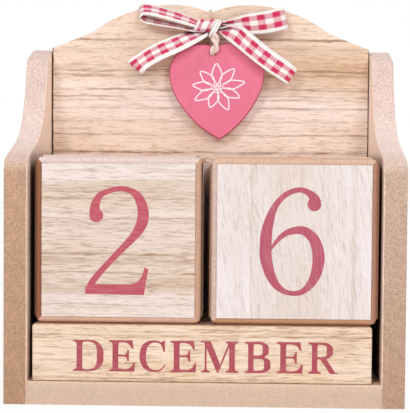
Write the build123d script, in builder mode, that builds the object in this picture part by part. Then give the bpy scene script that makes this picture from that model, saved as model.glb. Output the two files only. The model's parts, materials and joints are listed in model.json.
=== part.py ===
"""A perpetual desk calendar: two date cubes and three month bars in an open tray.

The tray is two side panels, a base board and a back panel, glued and pinned.
A heart hangs on twine from a ribbon bow tied at the notch of the back panel.

Frame: millimetres, X to the right, Y away from the reader, Z up.
The origin is in the middle of the tray's underside.
"""

import os
from math import cos, pi, radians, sin, sqrt, tan

from build123d import *

os.makedirs("parts", exist_ok=True)

# ---------------------------------------------------------------- driving dimensions

# Date cubes: a core board block with a square of wood on each face.
CUBE_SIZE = 50.5
FACE_WIDTH = 46.0
FACE_THICKNESS = 0.5
CUBE_ROUNDING = 1.7

# The play that lets the loose blocks be picked out.
CUBE_LEFT_GAP = 1.9
CUBE_MIDDLE_GAP = 2.0
CUBE_RIGHT_GAP = 1.1
CUBE_SETBACK = 1.0
CUBE_REAR_GAP = 0.5
REST_GAP = 0.1

# Month bars: three square bars, one behind the other under the cubes.
BAR_COUNT = 3
BAR_HEIGHT = 17.0
BAR_LEFT_GAP = 1.6
BAR_RIGHT_GAP = 2.9
BAR_SETBACK = 0.4
BAR_SPACING = 0.15
BAR_REAR_GAP = 0.3
BAR_ARRIS = 0.7

# Tray boards.
BOARD_THICKNESS = 7.0
BACK_THICKNESS = 5.0
BACK_SIDE_GAP = 0.25  # the open joint between the back panel and each side panel
BOARD_ARRIS = 0.5

# Side panels: a low shoulder in front, a hollow curve, and a tall rear arm.
SHOULDER_DROP = 1.4  # below the top of the cubes
SHOULDER_ROUNDING = 5.0
HOLLOW_DEPTH = 22.0  # from the rear edge
HOLLOW_RISE = 9.1  # above the shoulder
HOLLOW_RADIUS = 28.0
ARM_TOP_DEPTH = 13.3  # from the rear edge
ARM_TOP_FALL = 3.6  # from the rear edge to the front of the arm's top
ARM_ROUNDING = 3.5
ARM_RISE = 35.0  # above the top of the cubes

# Back panel: sloping shoulders, two humps and a notch between them.
HUMP_RISE = 50.1  # above the top of the cubes
HUMP_SPACING = 24.0
HUMP_OUTER_RADIUS = 45.0
HUMP_REACH = 27.5  # from the top of a hump out to its foot
NOTCH_DEPTH = 2.8
BACK_EDGE_FALL = 14.6  # from the humps to the panel's side edges
FOOT_ROUNDING = 6.0

# Brads.
BRAD_DIAMETER = 1.2
BRAD_HEAD_DIAMETER = 2.0
BRAD_HEAD_THICKNESS = 0.6
BRAD_LENGTH = 18.0
SIDE_BRAD_INSET = 11.0  # from the ends of the base board
LOWER_BRAD_HEIGHT = 38.0  # in the back panel, above the underside
UPPER_BRAD_DROP = 22.0  # below the top of the arm
REAR_BRAD_COUNT = 3
REAR_BRAD_SPACING = 36.0

# Heart.
HEART_WIDTH = 31.4
HEART_THICKNESS = 3.0
HEART_LOBE_RISE = 9.8  # from the widest level up to the lobes
HEART_POINT_FALL = 21.7  # from the widest level down to the point
HEART_LOBE_SPACING = 14.4
HEART_NOTCH_DEPTH = 0.9
HEART_LEAN = 3.0  # degrees, the point swung to the right
HEART_FLANK = [(0.52, 0.71), (0.88, 0.34)]  # shares of half the width and of the point's fall
HEART_ARRIS = 0.5
HOLE_WALL = 0.55  # wood between the hole and the notch
HOLE_OFFSET = -0.9  # from the middle of the heart
HOLE_CLEARANCE = 0.15

# Twine: a thick piece carries the heart, a thin one holds the bow at the notch.
TWINE_DIAMETER = 2.2
HANGING_TWINE_DIAMETER = 1.2
TWINE_CLEARANCE = 0.1
HANGING_CLEARANCE = 0.25
TWINE_TO_PANEL_GAP = 0.3  # from the swinging twine to the back panel
NOTCH_STAND_OFF = 1.206  # how high a round cord sits between the notch's sides, in radii
HANGING_HOLE_RISE = 0.8  # above the middle of the knot
SOCKET_DEPTH = 1.2  # how far the hanging twine goes into the knot
SOCKET_WALL = 0.25
PENDANT_DROP = 4.5  # from the knot to the top of the heart's hole
PENDANT_X = 0.7  # where the pendant's twine leaves the knot
HOLE_SHIFT = 0.4  # of the heart's hole, to the right of that place
LEG_STRAIGHT = 0.2  # below the knot, before the legs turn towards the hole
BRIDGE_CLEARANCE = 1.0  # from the wood over the hole to the bend of the legs
POCKET_DEPTH = 2.0  # in the underside of the knot
POCKET_CLEARANCE = 0.3
LEG_TOP_GAP = 0.5
SWING = 10.0  # degrees each way

# Ribbon bow.
KNOT_WIDTH = 8.2
KNOT_HEIGHT = 5.4
KNOT_DEPTH = 6.0
KNOT_ROUNDING = 1.6
KNOT_OFFSET = -1.1  # from the middle of the tray
KNOT_DROP = 2.1  # from the notch to the top of the knot
KNOT_GAP = 0.3  # between the knot and the back panel
RIBBON_WIDTH = 7.0
RIBBON_THICKNESS = 0.5
RIBBON_CORNER_SHARE = 0.45  # of the shorter run beside a corner, in its arc
GATHER_LENGTH = 6.0  # from the knot to where the ribbon has its full width
GATHER_INSET = 0.3  # from the knot's top and underside to the gathered ribbon
RIGHT_LOOP_GATHER_LENGTH = 13.0  # the same two on the loop that a tail crosses
RIGHT_LOOP_GATHER = (0, 3.5)

# Each band starts at the knot. Its path is (along the run, off it), its plane is the
# direction of the run and the direction across the ribbon's width.
LEFT_LOOP_START = (0, 0, -0.3)  # from the middle of the knot's left side
LEFT_LOOP_RUN = (-1, 0, 0)
LEFT_LOOP_ACROSS = (0, 0.72, 0.69)
LEFT_LOOP_PATH = [(-0.9, 1.2), (5, 3.2), (14.5, 5.6), (19.6, 4.6), (15.5, 1.7), (6, 1.4), (-0.9, 0.2)]
RIGHT_LOOP_START = (0, 0, -2.0)  # from the middle of the knot's right side
RIGHT_LOOP_RUN = (0.97, 0, 0.242)
RIGHT_LOOP_ACROSS = (-0.242, 0, 0.97)
RIGHT_LOOP_PATH = [(-0.9, -0.2), (6, -1.6), (16, -3.4), (24.4, -2.4), (20, 0.8), (9, 1.4), (-0.9, 1.0)]
LEFT_TAIL_START = (2.2, 0.9, -0.3)  # from the knot's left, front and bottom
LEFT_TAIL_RUN = (-0.855, -0.2, -0.477)
LEFT_TAIL_ACROSS = (-0.292, 0.8, 0.524)
LEFT_TAIL_PATH = [(-0.6, -0.2), (6.9, 2.1), (13.3, 2.4), (19.1, 1.8), (25.5, 0)]
RIGHT_TAIL_START = (-0.2, 0.3, 1.2)  # from the knot's right, front and bottom
RIGHT_TAIL_RUN = (0.841, -0.1, -0.54)
RIGHT_TAIL_ACROSS = (0.5, 0.61, 0.61)
RIGHT_TAIL_PATH = [(-0.6, -0.2), (4.4, -4.4), (12.5, -2.8), (20.1, -1.2), (27.6, 0)]

# ---------------------------------------------------------------- derived places

inner_width = 2 * CUBE_SIZE + CUBE_LEFT_GAP + CUBE_MIDDLE_GAP + CUBE_RIGHT_GAP
base_depth = CUBE_SETBACK + CUBE_SIZE + CUBE_REAR_GAP
tray_depth = base_depth + BACK_THICKNESS
front = -tray_depth / 2
rear = tray_depth / 2
back_face = rear - BACK_THICKNESS
inner_left = -inner_width / 2
inner_right = inner_width / 2

bar_bottom = BOARD_THICKNESS + REST_GAP
cube_bottom = bar_bottom + BAR_HEIGHT + REST_GAP
cube_top = cube_bottom + CUBE_SIZE
arm_top = cube_top + ARM_RISE
hump_top = cube_top + HUMP_RISE
notch_bottom = hump_top - NOTCH_DEPTH

knot_top = notch_bottom - KNOT_DROP
knot_bottom = knot_top - KNOT_HEIGHT
knot_rear = back_face - KNOT_GAP
knot_front = knot_rear - KNOT_DEPTH
knot_left = KNOT_OFFSET - KNOT_WIDTH / 2
knot_right = KNOT_OFFSET + KNOT_WIDTH / 2
knot_middle = (knot_top + knot_bottom) / 2
knot_depth_centre = (knot_front + knot_rear) / 2

twine_radius = TWINE_DIAMETER / 2
twine_reach = twine_radius + TWINE_CLEARANCE
hanging_radius = HANGING_TWINE_DIAMETER / 2
hanging_reach = hanging_radius + HANGING_CLEARANCE


def finish(piece, name):
    """Labels a piece and writes its STEP file."""
    piece.part.label = name
    export_step(piece.part, f"parts/{name}.step")


# ---------------------------------------------------------------- brad places

brad_height = BOARD_THICKNESS / 2  # in the middle of the base board's edge
base_brad_depths = [front + SIDE_BRAD_INSET, back_face - SIDE_BRAD_INSET]
back_brad_heights = [LOWER_BRAD_HEIGHT, arm_top - UPPER_BRAD_DROP]
back_brad_depth = (back_face + rear) / 2
rear_brad_places = [
    (REAR_BRAD_SPACING * (i - (REAR_BRAD_COUNT - 1) / 2), brad_height)
    for i in range(REAR_BRAD_COUNT)
]
side_brad_places = [(y, brad_height) for y in base_brad_depths]
side_brad_places += [(back_brad_depth, z) for z in back_brad_heights]


def side_axes(x, outward, places):
    """Planes on a face at x, pointing outward along X, at (y, z) places."""
    return [Plane((x, y, z), z_dir=(outward, 0, 0)) for y, z in places]


def rear_axes(y, places):
    """Planes on a face at y, pointing to the rear, at (x, z) places."""
    return [Plane((x, y, z), z_dir=(0, 1, 0)) for x, z in places]


def brad_holes():
    """Countersunk through holes at the active locations, as wide as the brads."""
    CounterBoreHole(BRAD_DIAMETER / 2, BRAD_HEAD_DIAMETER / 2, BRAD_HEAD_THICKNESS, BRAD_LENGTH)


def brads():
    """Brads at the active locations, heads flush and shanks pointing inward."""
    inward = (Align.CENTER, Align.CENTER, Align.MAX)
    Cylinder(BRAD_HEAD_DIAMETER / 2, BRAD_HEAD_THICKNESS, align=inward)
    Cylinder(BRAD_DIAMETER / 2, BRAD_LENGTH, align=inward)


# ---------------------------------------------------------------- tray boards

shoulder = cube_top - SHOULDER_DROP
side_outline = [
    (front, 0),
    (front, shoulder),
    (rear - HOLLOW_DEPTH, shoulder + HOLLOW_RISE),
    (rear - ARM_TOP_DEPTH, arm_top - ARM_TOP_FALL),
    (rear, arm_top),
    (rear, 0),
]
side_radii = [SHOULDER_ROUNDING, HOLLOW_RADIUS, ARM_ROUNDING, 0]


def side_panel(inner_x, outward):
    """A side panel from its inner face outward, with its brad holes."""
    outer_x = inner_x + outward * BOARD_THICKNESS
    with BuildPart() as panel:
        with BuildSketch(Plane.YZ.offset(inner_x)):
            with BuildLine():
                edge = FilletPolyline(*side_outline, radius=side_radii)
                Line(edge @ 1, edge @ 0)
            make_face()
        extrude(amount=outward * BOARD_THICKNESS)
        front_edges = panel.edges().filter_by(Axis.Z).group_by(Axis.Y)[0]
        fillet(front_edges, BOARD_ARRIS)
        with Locations(*side_axes(outer_x, outward, side_brad_places)):
            brad_holes()
    return panel


finish(side_panel(inner_left, -1), "left_side_panel")
finish(side_panel(inner_right, 1), "right_side_panel")

with BuildPart() as base_board:
    with BuildSketch(Plane.XY):
        with Locations((0, front)):
            Rectangle(inner_width, base_depth, align=(Align.CENTER, Align.MIN))
    extrude(amount=BOARD_THICKNESS)
    upper_front = base_board.edges().filter_by(Axis.X).group_by(Axis.Z)[-1].sort_by(Axis.Y)[0]
    fillet(upper_front, BOARD_ARRIS)
    side_holes = [(y, brad_height) for y in base_brad_depths]
    with Locations(*side_axes(inner_left, -1, side_holes), *side_axes(inner_right, 1, side_holes)):
        Hole(BRAD_DIAMETER / 2, BRAD_LENGTH - BOARD_THICKNESS)
    with Locations(*rear_axes(back_face, rear_brad_places)):
        Hole(BRAD_DIAMETER / 2, BRAD_LENGTH - BACK_THICKNESS)
finish(base_board, "base_board")

hump_x = HUMP_SPACING / 2
foot_fall = HUMP_OUTER_RADIUS - sqrt(HUMP_OUTER_RADIUS**2 - HUMP_REACH**2)
half_reach = HUMP_REACH / 2
half_fall = HUMP_OUTER_RADIUS - sqrt(HUMP_OUTER_RADIUS**2 - half_reach**2)
foot_height = hump_top - foot_fall
hole_height = knot_middle + HANGING_HOLE_RISE
back_edge = inner_right - BACK_SIDE_GAP

with BuildPart() as back_panel:
    with BuildSketch(Plane.XZ.offset(-back_face)) as back_outline:
        with BuildLine():
            side = Line((back_edge, 0), (back_edge, hump_top - BACK_EDGE_FALL))
            slope = Line(side @ 1, (hump_x + HUMP_REACH, foot_height))
            outer = ThreePointArc(
                slope @ 1,
                (hump_x + half_reach, hump_top - half_fall),
                (hump_x, hump_top),
            )
            inner = TangentArc(outer @ 1, (0, notch_bottom), tangent=outer % 1)
            mirror(about=Plane.YZ)
            Line((-back_edge, 0), (back_edge, 0))
        make_face()
        feet = back_outline.vertices().filter_by_position(Axis.Y, foot_height - 0.1, foot_height + 0.1)
        fillet(feet, FOOT_ROUNDING)
    extrude(amount=-BACK_THICKNESS)
    with Locations(*side_axes(inner_left, -1, [(back_brad_depth, z) for z in back_brad_heights])):
        Hole(BRAD_DIAMETER / 2, BRAD_LENGTH - BOARD_THICKNESS)
    with Locations(*side_axes(inner_right, 1, [(back_brad_depth, z) for z in back_brad_heights])):
        Hole(BRAD_DIAMETER / 2, BRAD_LENGTH - BOARD_THICKNESS)
    with Locations(*rear_axes(rear, rear_brad_places)):
        brad_holes()
    with Locations(*rear_axes(rear, [(0, hole_height)])):
        Hole(hanging_reach, BACK_THICKNESS)
finish(back_panel, "back_panel")

with BuildPart() as side_panel_brads:
    outer_left = inner_left - BOARD_THICKNESS
    outer_right = inner_right + BOARD_THICKNESS
    with Locations(
        *side_axes(outer_left, -1, side_brad_places), *side_axes(outer_right, 1, side_brad_places)
    ):
        brads()
finish(side_panel_brads, "side_panel_brads")

with BuildPart() as back_panel_brads:
    with Locations(*rear_axes(rear, rear_brad_places)):
        brads()
finish(back_panel_brads, "back_panel_brads")

# ---------------------------------------------------------------- date cubes

cube_front = front + CUBE_SETBACK
cube_depth_centre = cube_front + CUBE_SIZE / 2
cube_height_centre = cube_bottom + CUBE_SIZE / 2
left_cube_centre = inner_left + CUBE_LEFT_GAP + CUBE_SIZE / 2
right_cube_centre = inner_right - CUBE_RIGHT_GAP - CUBE_SIZE / 2
core_size = CUBE_SIZE - 2 * FACE_THICKNESS

SIDE_DIRECTIONS = {
    "front": (0, -1, 0),
    "rear": (0, 1, 0),
    "left": (-1, 0, 0),
    "right": (1, 0, 0),
    "top": (0, 0, 1),
    "bottom": (0, 0, -1),
}
LEFT_CUBE_DIGITS = {"front": 2, "rear": 3, "left": 4, "right": 5, "top": 0, "bottom": 1}
RIGHT_CUBE_DIGITS = {"front": 6, "rear": 7, "left": 8, "right": 0, "top": 1, "bottom": 2}


def date_cube(name, centre_x, digits):
    """A rounded core and the six face squares glued to it."""
    centre = Vector(centre_x, cube_depth_centre, cube_height_centre)
    with BuildPart() as core:
        with Locations(centre):
            Box(core_size, core_size, core_size)
        fillet(core.edges(), CUBE_ROUNDING)
    finish(core, f"{name}_core")
    for side_name, digit in digits.items():
        outward = Vector(*SIDE_DIRECTIONS[side_name])
        with BuildPart() as face:
            with BuildSketch(Plane(centre + outward * (core_size / 2), z_dir=outward)):
                Rectangle(FACE_WIDTH, FACE_WIDTH)
            extrude(amount=FACE_THICKNESS)
        finish(face, f"{name}_face_{digit}")


date_cube("left_cube", left_cube_centre, LEFT_CUBE_DIGITS)
date_cube("right_cube", right_cube_centre, RIGHT_CUBE_DIGITS)

# ---------------------------------------------------------------- month bars

bar_room = base_depth - BAR_SETBACK - BAR_REAR_GAP - (BAR_COUNT - 1) * BAR_SPACING
bar_depth = bar_room / BAR_COUNT
bar_length = inner_width - BAR_LEFT_GAP - BAR_RIGHT_GAP
bar_centre = inner_left + BAR_LEFT_GAP + bar_length / 2

for index, place in enumerate(["front", "middle", "rear"]):
    bar_front = front + BAR_SETBACK + index * (bar_depth + BAR_SPACING)
    with BuildPart() as month_bar:
        with BuildSketch(Plane.XY.offset(bar_bottom)):
            with Locations((bar_centre, bar_front)):
                Rectangle(bar_length, bar_depth, align=(Align.CENTER, Align.MIN))
        extrude(amount=BAR_HEIGHT)
        fillet(month_bar.edges(), BAR_ARRIS)
    finish(month_bar, f"month_bar_{place}")

# ---------------------------------------------------------------- heart pendant

heart_rear = back_face - TWINE_TO_PANEL_GAP - TWINE_DIAMETER - TWINE_CLEARANCE
heart_front = heart_rear - HEART_THICKNESS
heart_depth_centre = (heart_front + heart_rear) / 2
hole_radius = twine_radius + HOLE_CLEARANCE
hole_height_in_heart = HEART_LOBE_RISE - HEART_NOTCH_DEPTH - HOLE_WALL - hole_radius
hole_centre = Vector(PENDANT_X + HOLE_SHIFT, 0, knot_bottom - PENDANT_DROP - hole_radius)
lean = radians(HEART_LEAN)

# The heart's own frame: X to the right, Y up its middle line, the origin at its widest level.
heart_x_dir = Vector(cos(lean), 0, sin(lean))
heart_y_dir = Vector(-sin(lean), 0, cos(lean))
heart_origin = hole_centre - heart_x_dir * HOLE_OFFSET - heart_y_dir * hole_height_in_heart
heart_plane = Plane(
    (heart_origin.X, heart_rear, heart_origin.Z), x_dir=heart_x_dir, z_dir=(0, -1, 0)
)
half_width = HEART_WIDTH / 2
half_spacing = HEART_LOBE_SPACING / 2

with BuildPart() as heart_pendant:
    with BuildSketch(heart_plane):
        with BuildLine():
            flank = ThreePointArc(
                (0, -HEART_POINT_FALL),
                *[(x * half_width, -y * HEART_POINT_FALL) for x, y in HEART_FLANK],
            )
            cheek = TangentArc(flank @ 1, (half_width, 0), tangent=flank % 1)
            lobe = TangentArc(cheek @ 1, (half_spacing, HEART_LOBE_RISE), tangent=cheek % 1)
            TangentArc(lobe @ 1, (0, HEART_LOBE_RISE - HEART_NOTCH_DEPTH), tangent=lobe % 1)
            mirror(about=Plane.YZ)
        make_face()
        with Locations((HOLE_OFFSET, hole_height_in_heart)):
            Circle(hole_radius, mode=Mode.SUBTRACT)
    extrude(amount=HEART_THICKNESS)
    rims = heart_pendant.faces().filter_by(Axis.Y)
    fillet([rim.outer_wire().edges() for rim in rims], HEART_ARRIS)
finish(heart_pendant, "heart_pendant")

# ---------------------------------------------------------------- twine


def turn_radii(points, shares):
    """The radius of each corner: a share of the shorter run over the tangent of half the turn."""
    radii = []
    for before, corner, after, share in zip(points, points[1:], points[2:], shares):
        run_in = Vector(*corner) - Vector(*before)
        run_out = Vector(*after) - Vector(*corner)
        half_turn = radians(run_in.get_angle(run_out)) / 2
        radii.append(share * min(run_in.length, run_out.length) / tan(half_turn))
    return radii


def twine(route, shares, radius, name):
    """A tube of a radius along straight runs joined by tangent arcs."""
    radii = turn_radii(route, shares)
    with BuildPart() as tube:
        with BuildLine() as line:
            FilletPolyline(*route, radius=radii)
        with BuildSketch(Plane(line.line @ 0, z_dir=line.line % 0)):
            Circle(radius)
        sweep()
    length = line.wires()[0].length
    section = pi * radius**2
    print(name, "length", round(length, 2), "radii", [round(r, 2) for r in radii])
    print(name, "volume", round(tube.part.volume, 2), "section x length", round(section * length, 2))
    finish(tube, name)


# The pendant's twine: down in front of the heart, through its hole and up behind it.
leg_front = heart_front - twine_reach
leg_rear = heart_rear + twine_reach
pocket_top = knot_bottom + POCKET_DEPTH
leg_top = pocket_top - LEG_TOP_GAP
twine_spread = twine_radius + TWINE_CLEARANCE / 2
bend_height = hole_centre.Z + hole_radius + HOLE_WALL + BRIDGE_CLEARANCE
bend_x = PENDANT_X + HOLE_SHIFT / 2
pendant_route = [
    (PENDANT_X, knot_depth_centre - twine_spread, leg_top),
    (PENDANT_X, knot_depth_centre - twine_spread, knot_bottom - LEG_STRAIGHT),
    (bend_x, leg_front, bend_height),
    (hole_centre.X, leg_front, hole_centre.Z),
    (hole_centre.X, leg_rear, hole_centre.Z),
    (bend_x, leg_rear, bend_height),
    (PENDANT_X, knot_depth_centre + twine_spread, knot_bottom - LEG_STRAIGHT),
    (PENDANT_X, knot_depth_centre + twine_spread, leg_top),
]
twine(pendant_route, [0.45, 0.45, 0.3, 0.3, 0.45, 0.45], twine_radius, "pendant_twine")

# The hanging twine: out of the knot's top, over the notch, down and back through the hole.
saddle = notch_bottom + NOTCH_STAND_OFF * hanging_radius + HANGING_CLEARANCE
rise = knot_rear - hanging_radius - SOCKET_WALL
hanging_route = [
    (0, rise, knot_top - SOCKET_DEPTH),
    (0, rise, saddle),
    (0, rear + hanging_reach, saddle),
    (0, rear + hanging_reach, hole_height),
    (0, knot_rear - SOCKET_DEPTH, hole_height),
]
twine(hanging_route, [0.35, 0.25, 0.25], hanging_radius, "hanging_twine")

# ---------------------------------------------------------------- ribbon bow

pocket_half_width = (twine_radius + POCKET_DEPTH * sin(radians(SWING))) / cos(radians(SWING))
pocket_width = 2 * (pocket_half_width + POCKET_CLEARANCE)
pocket_length = 2 * (twine_spread + twine_radius + POCKET_CLEARANCE)

with BuildPart() as knot_body:
    with Locations((KNOT_OFFSET, knot_depth_centre, knot_middle)):
        Box(KNOT_WIDTH, KNOT_DEPTH, KNOT_HEIGHT)
    fillet(knot_body.edges(), KNOT_ROUNDING)

with BuildPart() as bow_knot:
    add(knot_body.part)
    with Locations((PENDANT_X, knot_depth_centre, knot_bottom)):
        Box(pocket_width, pocket_length, 2 * POCKET_DEPTH, mode=Mode.SUBTRACT)
    with Locations(Plane((0, rise, knot_top))):
        Hole(hanging_radius, SOCKET_DEPTH)
    with Locations(Plane((0, knot_rear, hole_height), z_dir=(0, 1, 0))):
        Hole(hanging_radius, SOCKET_DEPTH)
finish(bow_knot, "bow_knot")


def ribbon_plane(start, run, across):
    """A plane whose X runs along the ribbon and whose Z lies across its width."""
    normal = Vector(*across).cross(Vector(*run))
    return Plane(start, x_dir=run, z_dir=Vector(*run).cross(normal))


def ribbon(plane, path, gather, gather_length, name):
    """A band of ribbon whose edge follows a path of runs and arcs, gathered into the knot.

    gather is the lower and upper edge where the band enters the knot, measured across it,
    and gather_length is how far from the knot the band has its full width.
    """
    corner_shares = [RIBBON_CORNER_SHARE] * (len(path) - 2)
    radii = turn_radii([(x, y, 0) for x, y in path], corner_shares)
    reach = max(x for x, y in path) + RIBBON_WIDTH
    half = RIBBON_WIDTH / 2
    face_plane = Plane(plane.origin, x_dir=plane.x_dir, z_dir=plane.y_dir)
    with BuildPart() as band:
        with BuildSketch(plane):
            with BuildLine():
                FilletPolyline(*path, radius=radii)
            trace(line_width=RIBBON_THICKNESS)
        extrude(amount=half, both=True)
        with BuildSketch(face_plane):
            with BuildLine():
                Polyline(
                    (-gather_length, -gather[0]),
                    (0, -gather[0]),
                    (gather_length, half),
                    (reach, half),
                    (reach, -half),
                    (gather_length, -half),
                    (0, -gather[1]),
                    (-gather_length, -gather[1]),
                    close=True,
                )
            make_face()
        extrude(amount=reach, both=True, mode=Mode.INTERSECT)
        add(knot_body.part, mode=Mode.SUBTRACT)
    finish(band, name)


knot_half = KNOT_HEIGHT / 2 - GATHER_INSET
both_halves = (-knot_half, knot_half)
left_side = Vector(knot_left, knot_depth_centre, knot_middle)
right_side = Vector(knot_right, knot_depth_centre, knot_middle)
left_corner = Vector(knot_left, knot_front, knot_bottom)
right_corner = Vector(knot_right, knot_front, knot_bottom)

left_loop = ribbon_plane(left_side + Vector(*LEFT_LOOP_START), LEFT_LOOP_RUN, LEFT_LOOP_ACROSS)
right_loop = ribbon_plane(right_side + Vector(*RIGHT_LOOP_START), RIGHT_LOOP_RUN, RIGHT_LOOP_ACROSS)
left_tail = ribbon_plane(left_corner + Vector(*LEFT_TAIL_START), LEFT_TAIL_RUN, LEFT_TAIL_ACROSS)
right_tail = ribbon_plane(right_corner + Vector(*RIGHT_TAIL_START), RIGHT_TAIL_RUN, RIGHT_TAIL_ACROSS)

ribbon(left_loop, LEFT_LOOP_PATH, both_halves, GATHER_LENGTH, "bow_left_loop")
ribbon(right_loop, RIGHT_LOOP_PATH, RIGHT_LOOP_GATHER, RIGHT_LOOP_GATHER_LENGTH, "bow_right_loop")
ribbon(left_tail, LEFT_TAIL_PATH, both_halves, GATHER_LENGTH, "bow_left_tail")
ribbon(right_tail, RIGHT_TAIL_PATH, both_halves, GATHER_LENGTH, "bow_right_tail")
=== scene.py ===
# %% [markdown]
# # A perpetual desk calendar
# The real thing is a small open tray of pressed board with two date cubes, three month bars
# behind and under them, and a painted heart that hangs from a ribbon bow. The boards, cubes,
# bars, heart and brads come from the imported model, at their real size. This script gives
# them their finish, and models what is printed, tied or spun: digits, month names, a line
# flower, the gingham bow and the twine.

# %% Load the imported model
import json
import random
from math import cos, pi, radians, sin

import bmesh
import bpy
from mathutils import Matrix, Vector
from mathutils.geometry import delaunay_2d_cdt, interpolate_bezier

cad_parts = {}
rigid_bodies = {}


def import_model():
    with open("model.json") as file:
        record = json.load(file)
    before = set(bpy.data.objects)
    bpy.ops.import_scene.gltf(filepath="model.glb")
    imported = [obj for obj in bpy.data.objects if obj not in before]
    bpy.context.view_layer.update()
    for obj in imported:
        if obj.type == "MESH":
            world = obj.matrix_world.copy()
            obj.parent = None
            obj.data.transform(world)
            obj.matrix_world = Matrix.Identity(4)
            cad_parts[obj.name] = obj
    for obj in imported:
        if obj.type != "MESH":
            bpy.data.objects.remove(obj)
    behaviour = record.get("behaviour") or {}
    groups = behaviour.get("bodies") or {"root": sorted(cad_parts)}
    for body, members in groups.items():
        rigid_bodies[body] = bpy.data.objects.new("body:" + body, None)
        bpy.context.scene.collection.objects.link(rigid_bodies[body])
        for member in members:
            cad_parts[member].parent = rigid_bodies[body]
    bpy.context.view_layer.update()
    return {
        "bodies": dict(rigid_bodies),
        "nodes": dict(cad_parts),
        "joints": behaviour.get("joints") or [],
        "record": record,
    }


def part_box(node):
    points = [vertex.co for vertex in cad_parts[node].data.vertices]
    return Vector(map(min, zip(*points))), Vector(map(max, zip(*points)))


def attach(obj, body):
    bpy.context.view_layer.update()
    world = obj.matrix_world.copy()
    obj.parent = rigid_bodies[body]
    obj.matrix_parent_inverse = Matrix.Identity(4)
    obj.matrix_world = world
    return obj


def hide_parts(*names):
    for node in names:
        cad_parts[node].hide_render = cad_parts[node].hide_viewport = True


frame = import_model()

nodes = frame["nodes"]
MM = 0.001

# %% [markdown]
# ## The camera
# The calendar is seen almost square on, from a little under half a metre, with a lens long
# enough to keep its sides straight. The turns are small: a little to the left, a little
# down and a trace of roll. They are applied in that order, so that one product of three
# rotations gives the camera's own axes.

# %% Camera
CAMERA_PLACE = Vector((10.6, -427.9, 77.2)) * MM
CAMERA_YAW = radians(1.51)
CAMERA_PITCH = radians(-2.49)
CAMERA_ROLL = radians(-0.46)
LENS = 117.5
SENSOR_WIDTH = 36
NEAREST, FURTHEST = 0.02, 20  # metres from the camera

camera = bpy.data.objects.new("camera", bpy.data.cameras.new("camera"))
bpy.context.scene.collection.objects.link(camera)
bpy.context.scene.camera = camera
camera.data.lens = LENS
camera.data.sensor_width = SENSOR_WIDTH
camera.data.clip_start = NEAREST
camera.data.clip_end = FURTHEST
turn = (
    Matrix.Rotation(CAMERA_YAW, 4, "Z")
    @ Matrix.Rotation(CAMERA_PITCH, 4, "X")
    @ Matrix.Rotation(CAMERA_ROLL, 4, "Y")
)
camera.matrix_world = Matrix.Translation(CAMERA_PLACE) @ turn @ Matrix.Rotation(pi / 2, 4, "X")
print("camera", round(CAMERA_PLACE.length, 3), "m from the tray")

# %% [markdown]
# ## Light and floor
# A catalogue picture of a pale wooden thing wants plain, soft light. Two main lamps stand
# near the line of sight, so that shadows hide behind what casts them. Neither is straight
# ahead, or its light would go deep into the gaps between the blocks, which must stay dark.
# Two wings, high at the sides, reach the insides of the arms, and a lamp behind shows the
# back when the calendar is turned. A white surround fills the rest.
# The floor is a plain pale sheet that keeps the shadow. Camera rays see white round it.

# %% Floor and surround
FLOOR_SIZE = 3.0
FLOOR_DROP = 0.05 * MM


def node(tree, kind, inputs=None, **settings):
    """Adds a shader node. An input is a number, a colour or another node's output."""
    made = tree.nodes.new(kind)
    for name, value in settings.items():
        setattr(made, name, value)
    for socket, value in (inputs or {}).items():
        if isinstance(value, bpy.types.NodeSocket):
            tree.links.new(value, made.inputs[socket])
        else:
            made.inputs[socket].default_value = value
    return made


def linear(red, green, blue):
    """A colour as it looks on a screen, 0 to 255, turned into the linear one that nodes use."""
    shares = [v / 255 for v in (red, green, blue)]
    return [v / 12.92 if v <= 0.04045 else ((v + 0.055) / 1.055) ** 2.4 for v in shares] + [1.0]


def math_node(tree, operation, first, second=0.0):
    return node(tree, "ShaderNodeMath", {0: first, 1: second}, operation=operation).outputs[0]


def product(tree, first, *others):
    """Several values multiplied, each a number or another node's output."""
    for value in others:
        first = math_node(tree, "MULTIPLY", first, value)
    return first


def seen_directly(tree):
    """1 for rays that show the surround itself: to the camera, in a gloss or through glass."""
    rays = node(tree, "ShaderNodeLightPath").outputs
    gloss = math_node(tree, "MAXIMUM", rays["Is Camera Ray"], rays["Is Glossy Ray"])
    return math_node(tree, "MAXIMUM", gloss, rays["Is Transmission Ray"])


SURROUND_LIGHT = 0.24
FLOOR_COLOUR = linear(243, 243, 243)
FLOOR_WHITENESS = 0.93

world = bpy.data.worlds.new("surround")
bpy.context.scene.world = world
world.use_nodes = True
world.node_tree.nodes.clear()
light = node(world.node_tree, "ShaderNodeBackground", {0: (1, 1, 1, 1), 1: SURROUND_LIGHT})
white = node(world.node_tree, "ShaderNodeBackground", {0: (1, 1, 1, 1), 1: 1.0})
both = node(
    world.node_tree,
    "ShaderNodeMixShader",
    {0: seen_directly(world.node_tree), 1: light.outputs[0], 2: white.outputs[0]},
)
node(world.node_tree, "ShaderNodeOutputWorld", {0: both.outputs[0]})

floor_bm = bmesh.new()
bmesh.ops.create_grid(floor_bm, x_segments=1, y_segments=1, size=FLOOR_SIZE / 2)
bmesh.ops.translate(floor_bm, vec=(0, 0, -FLOOR_DROP), verts=floor_bm.verts)
floor = bpy.data.objects.new("floor", bpy.data.meshes.new("floor"))
floor_bm.to_mesh(floor.data)
floor_bm.free()
bpy.context.scene.collection.objects.link(floor)

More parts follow.
